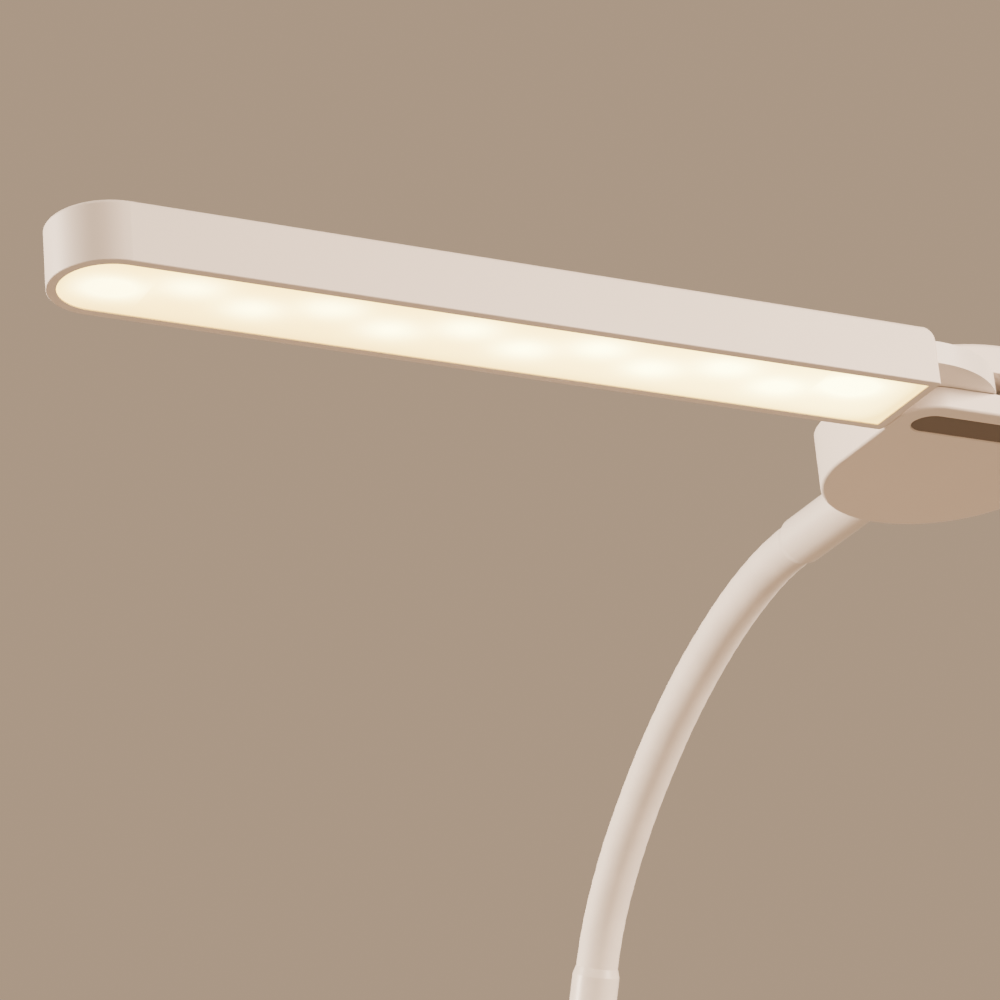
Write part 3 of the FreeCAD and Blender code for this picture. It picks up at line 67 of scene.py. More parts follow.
# ---- Shader building ------------------------------------------------------------------------------
class Field:
    """A number that a shader works out at every point of a surface."""

    def __init__(self, shader: "Shader", socket: bpy.types.NodeSocket) -> None:
        """Wraps an output socket of the shader's node tree."""
        self.shader = shader
        self.socket = socket

    def _math(self, operation: str, *terms: Number) -> "Field":
        """Adds one Math node.

        Args:
            operation: the node's operation.
            terms: its inputs, in order.
        Returns:
            The node's result.
        """
        inputs = {n: term for n, term in enumerate(terms)}
        return self.shader.field("ShaderNodeMath", {"operation": operation}, inputs)

    def __add__(self, other: Number) -> "Field":
        """self + other."""
        return self._math("ADD", self, other)

    def __radd__(self, other: Number) -> "Field":
        """other + self."""
        return self._math("ADD", other, self)

    def __sub__(self, other: Number) -> "Field":
        """self - other."""
        return self._math("SUBTRACT", self, other)

    def __rsub__(self, other: Number) -> "Field":
        """other - self."""
        return self._math("SUBTRACT", other, self)

    def __mul__(self, other: Number) -> "Field":
        """self * other."""
        return self._math("MULTIPLY", self, other)

    def __rmul__(self, other: Number) -> "Field":
        """other * self."""
        return self._math("MULTIPLY", other, self)

    def __truediv__(self, other: Number) -> "Field":
        """self / other."""
        return self._math("DIVIDE", self, other)

    def __neg__(self) -> "Field":
        """Minus self."""
        return self._math("MULTIPLY", self, -1.0)

    def rounded(self) -> "Field":
        """The nearest whole number."""
        return self._math("ROUND", self)

    def remainder(self, other: Number) -> "Field":
        """The remainder after division, never negative."""
        return self._math("FLOORED_MODULO", self, other)

    def exp(self) -> "Field":
        """e to the power of self."""
        return self._math("EXPONENT", self)

    def clamped(self, low: float, high: float) -> "Field":
        """Self held between two limits."""
        return self._math("MINIMUM", self._math("MAXIMUM", self, low), high)

    def above(self, limit: Number) -> "Field":
        """1 where self is above a limit, else 0."""
        return self._math("GREATER_THAN", self, limit)


Link = Union[float, tuple, Field, bpy.types.NodeSocket]


class Shader:
    """One material: its node tree, its Principled shader and the pieces of maths that feed it."""

    MIX_FACTOR, MIX_A, MIX_B, MIX_RESULT = 0, 6, 7, 2  # the Mix node's colour sockets

    def __init__(self, name: str) -> None:
        """Makes the material with an empty Principled shader."""
        self.material = bpy.data.materials.new(name)
        self.material.use_nodes = True
        self.tree = self.material.node_tree
        self.tree.nodes.clear()
        self.surface = self.tree.nodes.new("ShaderNodeBsdfPrincipled")
        output = self.tree.nodes.new("ShaderNodeOutputMaterial")
        self.tree.links.new(self.surface.outputs[0], output.inputs["Surface"])

    def node(self, kind: str, settings: dict, inputs: dict) -> bpy.types.Node:
        """Adds a node.

        Args:
            kind: the node's type.
            settings: its own properties, set first.
            inputs: values or links of its sockets, by name or by number.
        Returns:
            The new node.
        """
        node = self.tree.nodes.new(kind)
        for key, value in settings.items():
            setattr(node, key, value)
        for key, value in inputs.items():
            self.plug(node.inputs[key], value)
        return node

    def plug(self, socket: bpy.types.NodeSocket, value: Link) -> None:
        """Links a socket, or sets its value.

        Args:
            socket: the input.
            value: a field or an output socket to link, or a plain number or colour.
        """
        if isinstance(value, Field):
            value = value.socket
        if isinstance(value, bpy.types.NodeSocket):
            self.tree.links.new(value, socket)
        elif isinstance(value, tuple) and len(value) == 3 and socket.type == "RGBA":
            socket.default_value = (*value, 1.0)
        else:
            socket.default_value = value

    def field(self, kind: str, settings: dict, inputs: dict, output: Union[int, str] = 0) -> Field:
        """Adds a node and returns one of its outputs as a field."""
        return Field(self, self.node(kind, settings, inputs).outputs[output])

    def place(self) -> bpy.types.NodeSocket:
        """The point's own place in the piece, in metres."""
        return self.node("ShaderNodeTexCoord", {}, {}).outputs["Object"]

    def axes(self) -> tuple[Field, Field, Field]:
        """The point's x, y and z in metres."""
        split = self.node("ShaderNodeSeparateXYZ", {}, {0: self.place()})
        return tuple(Field(self, split.outputs[n]) for n in range(3))

    def noise(self, size: float, detail: float = 2.0, roughness: float = 0.5,
              stretch: Colour = (1.0, 1.0, 1.0)) -> Field:
        """Smooth noise.

        Args:
            size: the size of its blotches in metres.
            detail: how many finer layers it has.
            roughness: how strong the finer layers are.
            stretch: how much longer the blotches are along each axis.
        Returns:
            A field about 0.5.
        """
        scale = tuple(1.0 / s for s in stretch)
        place = self.node("ShaderNodeMapping", {}, {"Vector": self.place(), "Scale": scale})
        inputs = {"Vector": place.outputs[0], "Scale": 1.0 / size, "Detail": detail, "Roughness": roughness}
        return self.field("ShaderNodeTexNoise", {}, inputs)

    def blend(self, factor: Number, a: Link, b: Link) -> bpy.types.NodeSocket:
        """A colour between two others."""
        inputs = {self.MIX_FACTOR: factor, self.MIX_A: a, self.MIX_B: b}
        return self.node("ShaderNodeMix", {"data_type": "RGBA"}, inputs).outputs[self.MIX_RESULT]

    def bump(self, height: Number, depth: float, strength: float = 1.0) -> None:
        """Roughens the surface.

        Args:
            height: a field from 0 to 1.
            depth: the height of its relief in metres.
            strength: how much of it shows.
        """
        inputs = {"Height": height, "Distance": depth, "Strength": strength}
        node = self.node("ShaderNodeBump", {}, inputs)
        self.plug(self.surface.inputs["Normal"], node.outputs[0])

    def set(self, **values: Link) -> None:
        """Sets sockets of the Principled shader; an underscore in a name stands for a space."""
        for key, value in values.items():
            self.plug(self.surface.inputs[key.replace("_", " ")], value)


def shade(colour: Colour, factor: float) -> Colour:
    """The colour made lighter or darker."""
    return tuple(min(1.0, c * factor) for c in colour)


class Dressed:
    """What every finish has: a name and a material made when it is first used."""

    def material(self) -> bpy.types.Material:
        """The finish's material, built once."""
        found = bpy.data.materials.get(self.name)
        return found if found else self.build().material

    def dress(self, *pieces: bpy.types.Object) -> None:
        """Gives the finish to whole pieces."""
        for piece in pieces:
            piece.data.materials.clear()
            piece.data.materials.append(self.material())


@dataclass(frozen=True)
class MouldedPlastic(Dressed):
    """Injection-moulded plastic with a fine spark texture and slight unevenness of colour."""

    name: str
    colour: Colour
    roughness: float = 0.42
    grain: float = 0.00035
    depth: float = 0.000012
    uneven: float = 0.035
    flow_size: float = 45.0 * MM
    handled_size: float = 18.0 * MM
    flow_share: float = 0.75
    specular: float = 0.45

    def build(self) -> Shader:
        """Builds the shader: spark grain, broad flow marks and handling sheen."""
        shader = Shader(self.name)
        flow = shader.noise(self.flow_size, 2.0, 0.45)
        grain = shader.noise(self.grain, 3.0, 0.6)
        handled = shader.noise(self.handled_size, 3.0, 0.6)
        tone = (flow * self.flow_share + handled * (1 - self.flow_share)).clamped(0.0, 1.0)
        dark, light = shade(self.colour, 1 - self.uneven), shade(self.colour, 1 + self.uneven)
        shader.set(
            Base_Color=shader.blend(tone, dark, light),
            Roughness=self.roughness - 0.05 + 0.1 * handled + 0.05 * grain,
            Specular_IOR_Level=self.specular,
        )
        shader.bump(grain, self.depth)
        return shader


@dataclass(frozen=True)
class SatinPaint(Dressed):
    """Sprayed satin paint with a little orange peel under a thin clear coat."""

    name: str
    colour: Colour
    roughness: float = 0.36
    coat: float = 0.25
    coat_roughness: float = 0.25
    peel_size: float = 1.1 * MM
    peel_depth: float = 0.02 * MM
    rub_size: float = 6.0 * MM
    rub_stretch: Colour = (1.0, 5.0, 1.0)

    def build(self) -> Shader:
        """Builds the shader: orange peel, faint rub marks and the coat."""
        shader = Shader(self.name)
        peel = shader.noise(self.peel_size, 1.5, 0.4)
        rub = shader.noise(self.rub_size, 4.0, 0.65, self.rub_stretch)
        shader.set(
            Base_Color=shader.blend(rub, shade(self.colour, 0.97), shade(self.colour, 1.02)),
            Roughness=self.roughness + 0.12 * (rub - 0.5),
            Coat_Weight=self.coat,
            Coat_Roughness=self.coat_roughness,
        )
        shader.bump(peel, self.peel_depth)
        return shader


@dataclass(frozen=True)
class SoftRubber(Dressed):
    """Silicone or rubber: dull, slightly dusty, with a velvety edge."""

    name: str
    colour: Colour
    roughness: float = 0.58
    dust: float = 0.05
    sheen: float = 0.15
    skin_size: float = 0.5 * MM
    skin_depth: float = 0.02 * MM
    patch_size: float = 14.0 * MM

    def build(self) -> Shader:
        """Builds the shader: fine skin, dust in broad patches and the sheen."""
        shader = Shader(self.name)
        skin = shader.noise(self.skin_size, 3.0, 0.6)
        patches = shader.noise(self.patch_size, 4.0, 0.6)
        dust = ((patches - 0.45) * 3.0).clamped(0.0, 1.0)
        dark, light = shade(self.colour, 1 - self.dust), shade(self.colour, 1 + self.dust)
        shader.set(
            Base_Color=shader.blend(dust, dark, light),
            Roughness=self.roughness + 0.12 * (patches - 0.5) + 0.05 * skin,
            Sheen_Weight=self.sheen,
            Sheen_Roughness=0.4,
            Specular_IOR_Level=0.4,
        )
        shader.bump(skin, self.skin_depth)
        return shader


@dataclass(frozen=True)
class OpalGlow(Dressed):
    """Lit opal sheet: a soft bright spot under each chip and a warmer tone between and beyond them.

    The spots are at first_x + n * pitch, and the odd ones are shifted by row_step across the bar.
    """

    name: str
    body: Colour
    warm: Colour
    bright: Colour
    edge: Colour
    first_x: float
    pitch: float
    count: int
    row_y: float
    row_step: float
    spot_x: float
    spot_y: float
    near_y: float
    far_y: float
    right_x: float
    left_x: float
    strength: float
    rim: float = 1.6 * MM
    end_fade: float = 4.5 * MM
    near_weight: float = 0.4
    far_weight: float = 0.8
    right_weight: float = 1.4
    left_weight: float = 0.8
    rim_strength: float = 0.85
    mottle_size: float = 11.0 * MM
    skin_size: float = 0.6 * MM
    skin_depth: float = 0.01 * MM

    def build(self) -> Shader:
        """Builds the shader: the row of spots, the warm rim, a painted brightening towards the right end
        and the moulded skin.
        """
        shader = Shader(self.name)
        x, y, _ = shader.axes()
        turn = ((self.first_x - x) / self.pitch).rounded().clamped(0.0, self.count - 1.0)
        glow = None
        for step in (-1.0, 0.0, 1.0):
            place = (turn + step).clamped(0.0, self.count - 1.0)
            row = self.row_y + self.row_step * place.remainder(2.0)
            dx = (x - self.first_x + place * self.pitch) / self.spot_x
            dy = (y - row) / self.spot_y
            spot = (-(dx * dx + dy * dy)).exp()
            glow = spot if glow is None else glow + spot
        glow = glow.clamped(0.0, 1.0)
        near_rim = (-((y - self.near_y) / self.rim)).exp()
        far_rim = (-((self.far_y - y) / (2 * self.rim))).exp()
        right_rim = (-((self.right_x - x) / self.end_fade)).exp()
        left_rim = (-((x - self.left_x) / (0.6 * self.end_fade))).exp()
        rim = self.near_weight * near_rim + self.far_weight * far_rim
        rim = (rim + self.right_weight * right_rim + self.left_weight * left_rim).clamped(0.0, 1.0)
        mottle = shader.noise(self.mottle_size, 2.0, 0.5)
        # along: painted brightening of the glow towards the right end, standing in for the diffuser's sheen
        # at the viewing angle; the spots and the warm rim are the lamp's own light.
        along = ((x - self.left_x) / (self.right_x - self.left_x)).clamped(0.0, 1.0)
        spread = (glow * (0.55 + 0.3 * mottle + 0.35 * along) + 0.3 * along * along).clamped(0.0, 1.0)
        lit = shader.blend(spread, self.warm, self.bright)
        lit = shader.blend(rim * self.rim_strength, lit, self.edge)
        shader.set(
            Base_Color=shader.blend(mottle, shade(self.body, 0.98), self.body),
            Roughness=0.34 + 0.08 * mottle,
            Emission_Color=lit,
            Emission_Strength=self.strength,
        )
        shader.bump(shader.noise(self.skin_size, 2.0), self.skin_depth)
        return shader


@dataclass(frozen=True)
class SmokedPane(Dressed):
    """Dark polished plastic with hairline scratches."""

    name: str
    colour: Colour
    roughness: float = 0.18
    coat: float = 0.6
    coat_roughness: float = 0.08
    smoke_size: float = 9.0 * MM
    scratch_size: float = 1.2 * MM
    scratch_stretch: Colour = (12.0, 1.0, 1.0)
    scratch_depth: float = 0.004 * MM

    def build(self) -> Shader:
        """Builds the shader: smoky depth, scratches and a hard coat."""
        shader = Shader(self.name)
        smoke = shader.noise(self.smoke_size, 2.0)
        scratches = shader.noise(self.scratch_size, 5.0, 0.75, self.scratch_stretch)
        shader.set(
            Base_Color=shader.blend(smoke, shade(self.colour, 0.85), shade(self.colour, 1.15)),
            Roughness=self.roughness + 0.15 * (scratches - 0.4).clamped(0.0, 1.0),
            Coat_Weight=self.coat,
            Coat_Roughness=self.coat_roughness,
        )
        shader.bump(scratches, self.scratch_depth)
        return shader


@dataclass(frozen=True)
class WorkedMetal(Dressed):
    """Turned, rolled or plated metal with tool lines along one axis."""

    name: str
    colour: Colour
    roughness: float = 0.3
    line: float = 0.00025
    along: Colour = (1.0, 1.0, 1.0)
    depth: float = 0.000008
    tarnish: float = 0.12
    stain_size: float = 4.0 * MM

    def build(self) -> Shader:
        """Builds the shader: tool lines, plating tone and handling marks."""
        shader = Shader(self.name)
        lines = shader.noise(self.line, 2.0, 0.5, self.along)
        stain = shader.noise(self.stain_size, 4.0, 0.6)
        shader.set(
            Base_Color=shader.blend(stain, shade(self.colour, 1 - self.tarnish), self.colour),
            Metallic=1.0,
            Roughness=(self.roughness + 0.25 * (stain - 0.5) + 0.1 * lines).clamped(0.08, 1.0),
        )
        shader.bump(lines, self.depth)
        return shader


@dataclass(frozen=True)
class BoardLaminate(Dressed):
    """Circuit board: solder mask over copper tracks, with tinned pads."""

    name: str
    mask: Colour
    track: Colour
    tin: Colour = (0.72, 0.70, 0.66)
    pitch: float = 1.6 * MM
    pad_reach: float = 0.16
    relief: float = 0.03 * MM

    def build(self) -> Shader:
        """Builds the shader: tracks from a brick pattern, pads from cells."""
        shader = Shader(self.name)
        inputs = {"Vector": shader.place(), "Scale": 1.0 / self.pitch, "Mortar Size": 0.06, "Bias": 0.0,
                  "Brick Width": 4.0, "Row Height": 0.6}
        tracks = shader.field("ShaderNodeTexBrick", {}, inputs, "Fac")
        inputs = {"Vector": shader.place(), "Scale": 0.4 / self.pitch}
        cells = shader.field("ShaderNodeTexVoronoi", {}, inputs)
        pads = (self.pad_reach - cells).above(0.0)
        mask = shader.blend(tracks, self.mask, self.track)
        shader.set(
            Base_Color=shader.blend(pads, mask, self.tin),
            Metallic=pads * 0.9,
            Roughness=0.42 - 0.12 * pads,
        )
        shader.bump(tracks + pads, self.relief)
        return shader


@dataclass(frozen=True)
class LitPart(Dressed):
    """A small part that lights up: a chip's phosphor or a light pipe."""

    name: str
    colour: Colour
    light: Colour
    strength: float
    roughness: float = 0.3
    grain_size: float = 0.4 * MM

    def build(self) -> Shader:
        """Builds the shader: grain in the colour and in the light."""
        shader = Shader(self.name)
        grain = shader.noise(self.grain_size, 2.0)
        shader.set(
            Base_Color=shader.blend(grain, shade(self.colour, 0.95), self.colour),
            Roughness=self.roughness + 0.1 * grain,
            Emission_Color=shader.blend(grain, shade(self.light, 0.9), self.light),
            Emission_Strength=self.strength,
        )
        return shader


@dataclass(frozen=True)
class FoilWrap(Dressed):
    """Shrunk foil round a battery cell, with small wrinkles."""

    name: str
    colour: Colour
    wrinkle_size: float = 4.0 * MM
    wrinkle_stretch: Colour = (3.0, 1.0, 1.0)
    wrinkle_depth: float = 0.2 * MM
    metallic: float = 0.6

    def build(self) -> Shader:
        """Builds the shader: wrinkles and a metallic gloss."""
        shader = Shader(self.name)
        wrinkles = shader.noise(self.wrinkle_size, 5.0, 0.6, self.wrinkle_stretch)
        shader.set(
            Base_Color=shader.blend(wrinkles, shade(self.colour, 0.9), self.colour),
            Metallic=self.metallic,
            Roughness=0.3 + 0.2 * wrinkles,
        )
        shader.bump(wrinkles, self.wrinkle_depth)
        return shader


CREAM = (0.80, 0.72, 0.655)
CASING = MouldedPlastic("cream_casing_plastic", CREAM)
BUTTON_PLASTIC = MouldedPlastic("button_plastic", shade(CREAM, 1.06), roughness=0.34, grain=0.0005)
ICON_INK = MouldedPlastic("icon_print", (0.30, 0.27, 0.25), roughness=0.5)
SLEEVE = SoftRubber("neck_sleeve_silicone", (0.80, 0.725, 0.665))
PAD_RUBBER = SoftRubber("pad_rubber_grey", (0.40, 0.375, 0.35), roughness=0.68)
FERRULE_PAINT = SatinPaint("ferrule_cream_paint", (0.80, 0.73, 0.67))
TONGUE_PAINT = SatinPaint("tongue_cream_paint", (0.79, 0.73, 0.68), roughness=0.42, coat=0.1)
WINDOW = SmokedPane("smoked_window", (0.085, 0.062, 0.052), roughness=0.3)
STEEL = WorkedMetal("zinc_plated_steel", (0.62, 0.62, 0.63))
LINK_STEEL = WorkedMetal("turned_link_steel", (0.50, 0.50, 0.51), along=(1.0, 6.0, 6.0))
SPRING_STEEL = WorkedMetal("spring_steel", (0.36, 0.36, 0.38), roughness=0.25, along=(6.0, 1.0, 1.0))
ALUMINIUM = WorkedMetal("rolled_aluminium", (0.78, 0.78, 0.79), along=(20.0, 1.0, 1.0), tarnish=0.06)
BRONZE = WorkedMetal("sintered_bronze", (0.62, 0.43, 0.22), roughness=0.45, line=0.0004)
NICKEL = WorkedMetal("nickel_shell", (0.70, 0.69, 0.67), roughness=0.22)
GOLD = WorkedMetal("contact_gold", (0.86, 0.64, 0.28), roughness=0.2, tarnish=0.05)
LED_BOARD = BoardLaminate("white_led_board", (0.80, 0.81, 0.78), (0.74, 0.75, 0.72))
GREEN_BOARD = BoardLaminate("green_circuit_board", (0.02, 0.13, 0.06), (0.04, 0.22, 0.10))
CHIP = LitPart("chip_phosphor", (0.85, 0.66, 0.18), (1.0, 0.83, 0.55), 2.0)
PIPE = LitPart("charge_light", (0.85, 0.88, 0.86), (0.55, 1.0, 0.62), 0.6, roughness=0.12)
FOIL = FoilWrap("battery_foil", (0.42, 0.47, 0.53))


# ---- Mesh building --------------------------------------------------------------------------------
def mesh_object(name: str, points: Iterable, faces: Iterable, smooth: bool = True) -> bpy.types.Object:
    """Makes a piece from points and faces.

    Args:
        name: the piece's name.
        points: its corners in the row frame, in metres.
        faces: tuples of corner numbers.
        smooth: whether its faces are shaded smooth.
    Returns:
        The new piece, linked to the scene, with its faces turned outwards.
    """
    mesh = bpy.data.meshes.new(name)
    mesh.from_pydata([tuple(p) for p in points], [], [tuple(f) for f in faces])
    work = bmesh.new()
    work.from_mesh(mesh)
    bmesh.ops.recalc_face_normals(work, faces=work.faces)
    work.to_mesh(mesh)
    work.free()
    mesh.shade_smooth() if smooth else mesh.shade_flat()
    piece = bpy.data.objects.new(name, mesh)
    bpy.context.scene.collection.objects.link(piece)
    return piece


def nodes(*names: str) -> list[bpy.types.Object]:
    """The CAD nodes of these names."""
    return [frame["nodes"][name] for name in names]


def joint(name: str) -> dict:
    """The record of one joint."""
    return next(j for j in frame["joints"] if j["name"] == name)


def middle_of(node: str) -> Vector:
    """The centre of a node's box."""
    low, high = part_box(node)
    return (Vector(low) + Vector(high)) / 2


def rounded_half_width(along: float, length: float, width: float, corner: float) -> float:
    """Half the width of a rounded rectangle at a distance from its middle.

    Args:
        along: the distance from the middle, along its length.
        length: its whole length.
        width: its whole width.
        corner: its corner radius.
    Returns:
        Half the width there.
    """
    into_corner = max(0.0, abs(along) - (length / 2 - corner))
    return width / 2 - corner + math.sqrt(max(0.0, corner ** 2 - into_corner ** 2))


@dataclass
class RibbedPad:
    """A soft pad with a rounded outline, a flat back and rounded ribs across its face.

    It is made lying down with its face up, its back at z = 0 and its length along Y.
    """

    name: str
    width: float
    length: float
    corner: float
    thick: float
    ribs: int
    rib_depth: float
    steps_per_rib: int = 12
    across: int = 16
    edge_drop: float = 0.35 * MM
    edge_power: int = 24
    crowding: float = 1.6
    groove_slope: float = 2.2
    sharp_from: float = 50.0

    def height(self, along: float) -> float:
        """The face's height at a distance from the pad's middle."""
        phase = (along / self.length + 0.5) * self.ribs
        groove = abs(math.sin(math.pi * phase))
        return self.thick - self.rib_depth * (1 - min(1.0, self.groove_slope * groove)) ** 2

    def crowded(self, share: float) -> float:
        """A place from -1 to 1 across the pad, moved towards the nearer edge."""
        return math.copysign(1 - (1 - abs(share)) ** self.crowding, share)

    def build(self, place: Matrix) -> bpy.types.Object:
        """Makes the pad's closed mesh.

        Args:
            place: moves the pad from its own frame to the row frame.
        Returns:
            The piece.
        """
        rows = self.ribs * self.steps_per_rib
        sides = [self.crowded(2.0 * c / self.across - 1.0) for c in range(self.across + 1)]
        points, faces = [], []
        for r in range(rows + 1):
            along = self.length * (r / rows - 0.5)
            half = rounded_half_width(along, self.length, self.width, self.corner)
            for side in sides:
                top = self.height(along) - self.edge_drop * abs(side) ** self.edge_power
                points.append(place @ Vector((half * side, along, top)))
            for side in sides:
                points.append(place @ Vector((half * side, along, 0.0)))
        line = self.across + 1
        row = 2 * line
        for r in range(rows):
            for c in range(self.across):
                a = r * row + c
                faces.append((a, a + 1, a + row + 1, a + row))
                b = a + line
                faces.append((b, b + row, b + row + 1, b + 1))
            for c in (0, self.across):
                a = r * row + c
                faces.append((a, a + row, a + row + line, a + line))
        for r in (0, rows):
            for c in range(self.across):
                a = r * row + c
                faces.append((a, a + 1, a + 1 + line, a + line))
        piece = mesh_object(self.name, points, faces)
        piece.data.set_sharp_from_angle(angle=math.radians(self.sharp_from))
        return piece


# ---- Sub-assemblies -------------------------------------------------------------------------------
@dataclass
class LightBar:
    """The light bar: casing, opal strip, heat plate, board and the tongue that carries it."""

    first_chip: float = 20.6 * MM
    chip_pitch: float = 18.4 * MM
    chip_count: int = 12
    glow_shift: tuple[float, float] = (-1.5 * MM, -2.5 * MM)
    row_offset: float = 3.0 * MM
    spot: tuple[float, float] = (7.4 * MM, 5.0 * MM)
    strength: float = 1.0

    def glow(self) -> OpalGlow:
        """The lit finish of the opal strip, laid out from the bar's own box."""
        low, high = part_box("bar_housing")
        strip_low, strip_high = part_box("bar_diffuser")
        middle = (low[1] + high[1]) / 2
        return OpalGlow(
            "opal_glow",
            body=(0.86, 0.83, 0.76),
            warm=(7.0, 4.7, 0.85),
            bright=(15.0, 13.5, 4.9),
            edge=(4.2, 2.7, 0.30),
            first_x=high[0] - self.first_chip + self.glow_shift[0],
            pitch=self.chip_pitch,
            count=self.chip_count,
            row_y=middle - self.row_offset + self.glow_shift[1],
            row_step=2 * self.row_offset,
            spot_x=self.spot[0],
            spot_y=self.spot[1],
            near_y=strip_low[1],
            far_y=strip_high[1],
            right_x=strip_high[0],
            left_x=strip_low[0],
            strength=self.strength,
        )

    def build(self) -> None:
        """Dresses the bar's pieces."""
        CASING.dress(*nodes("bar_housing"))
        self.glow().dress(*nodes("bar_diffuser"))
        ALUMINIUM.dress(*nodes("bar_heat_plate"))
        LED_BOARD.dress(*nodes("led_board"))
        CHIP.dress(*nodes("led_chips"))
        STEEL.dress(*nodes("led_board_screws", "tongue_screws"))
        BRONZE.dress(*nodes("hinge_bush"))
        TONGUE_PAINT.dress(*nodes("hinge_tongue"))
        log.info("light bar: casing, opal strip, plate, board, chips, tongue")


class Icon(Enum):
    """The two generic signs on the buttons."""

    POWER = "power"
    BRIGHTNESS = "brightness"


@dataclass
class Head:
    """The head housing with its window, boards, hinge pieces and push buttons."""

    icon_radius: float = 1.7 * MM
    icon_line: float = 0.32 * MM
    icon_sink: float = 0.32 * MM
    icon_thick: float = 0.14 * MM
    rays: int = 8
    power_gap: float = 38.0
    power_bar: tuple[float, float] = (0.4, 1.35)
    sun_ring: float = 0.55
    sun_sweep: float = 0.999
    sun_ray: float = 1.5

    def ring(self, centre: Vector, radius: float, start: float, sweep: float, steps: int = 40) -> tuple:
        """A flat closed band along a circle.

        Args:
            centre: the circle's centre on the button.
            radius: the band's middle radius.
            start: its first angle, in radians.
            sweep: the angle that it covers.
            steps: how many pieces it is cut into.
        Returns:
            Its points and its faces.
        """
        points, faces = [], []
        for n in range(steps + 1):
            turn = start + sweep * n / steps
            for reach, lift in ((-1, 0), (1, 0), (1, 1), (-1, 1)):
                r = radius + reach * self.icon_line / 2
                corner = Vector((r * math.cos(turn), r * math.sin(turn), lift * self.icon_thick))
                points.append(centre + corner)
        for n in range(steps):
            for k in range(4):
                a, b = 4 * n + k, 4 * n + (k + 1) % 4
                faces.append((a, b, b + 4, a + 4))
        faces += [(0, 1, 2, 3), tuple(4 * steps + k for k in range(4))]
        return points, faces

    def bar(self, centre: Vector, turn: float, near: float, far: float) -> tuple:
        """A short flat bar that points away from the icon's centre.

        Args:
            centre: the icon's centre.
            turn: the bar's direction, in radians.
            near: where it starts.
            far: where it ends.
        Returns:
            Its points and its faces.
        """
        along = Vector((math.cos(turn), math.sin(turn), 0))
        side = Vector((-along.y, along.x, 0)) * (self.icon_line / 2)
        points = []
        for lift in (0, self.icon_thick):
            up = Vector((0, 0, lift))
            points += [centre + along * near - side + up, centre + along * far - side + up,
                       centre + along * far + side + up, centre + along * near + side + up]
        return points, list(BOX_FACES)

    def icon(self, kind: Icon, button: str) -> None:
        """Prints one sign on a button.

        Args:
            kind: which sign.
            button: the button's node, which is also its body.
        """
        centre = middle_of(button)
        centre.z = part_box(button)[1][2] - self.icon_sink
        if kind is Icon.POWER:
            gap = math.radians(self.power_gap)
            near, far = (share * self.icon_radius for share in self.power_bar)
            parts = [self.ring(centre, self.icon_radius, math.pi / 2 + gap, 2 * (math.pi - gap)),
                     self.bar(centre, math.pi / 2, near, far)]
        else:
            far = self.sun_ray * self.icon_radius
            parts = [self.ring(centre, self.sun_ring * self.icon_radius, 0.0, 2 * math.pi * self.sun_sweep)]
            parts += [self.bar(centre, 2 * math.pi * n / self.rays, self.icon_radius, far)
                      for n in range(self.rays)]
        points, faces = [], []
        for own_points, own_faces in parts:
            faces += [tuple(n + len(points) for n in face) for face in own_faces]
            points += own_points
        piece = mesh_object(f"{button}_icon", points, faces, smooth=False)
        ICON_INK.dress(piece)
        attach(piece, button)

    def build(self) -> None:
        """Dresses the head's pieces and prints the buttons."""
        CASING.dress(*nodes("housing_lower_tray", "housing_upper_shell"))
        WINDOW.dress(*nodes("sensor_window"))
        STEEL.dress(*nodes("hinge_pin", "hinge_friction_washers", "housing_screw", "control_board_screws"))
        STEEL.dress(*nodes("upper_ferrule_nut"))
        GREEN_BOARD.dress(*nodes("sensor_board", "control_board"))
        NICKEL.dress(*nodes("button_switches"))
        BUTTON_PLASTIC.dress(*nodes("power_button", "dimmer_button"))
        FERRULE_PAINT.dress(*nodes("upper_ferrule"))
        self.icon(Icon.POWER, "power_button")
        self.icon(Icon.BRIGHTNESS, "dimmer_button")
        log.info("head: housing, window, boards, buttons and their signs")


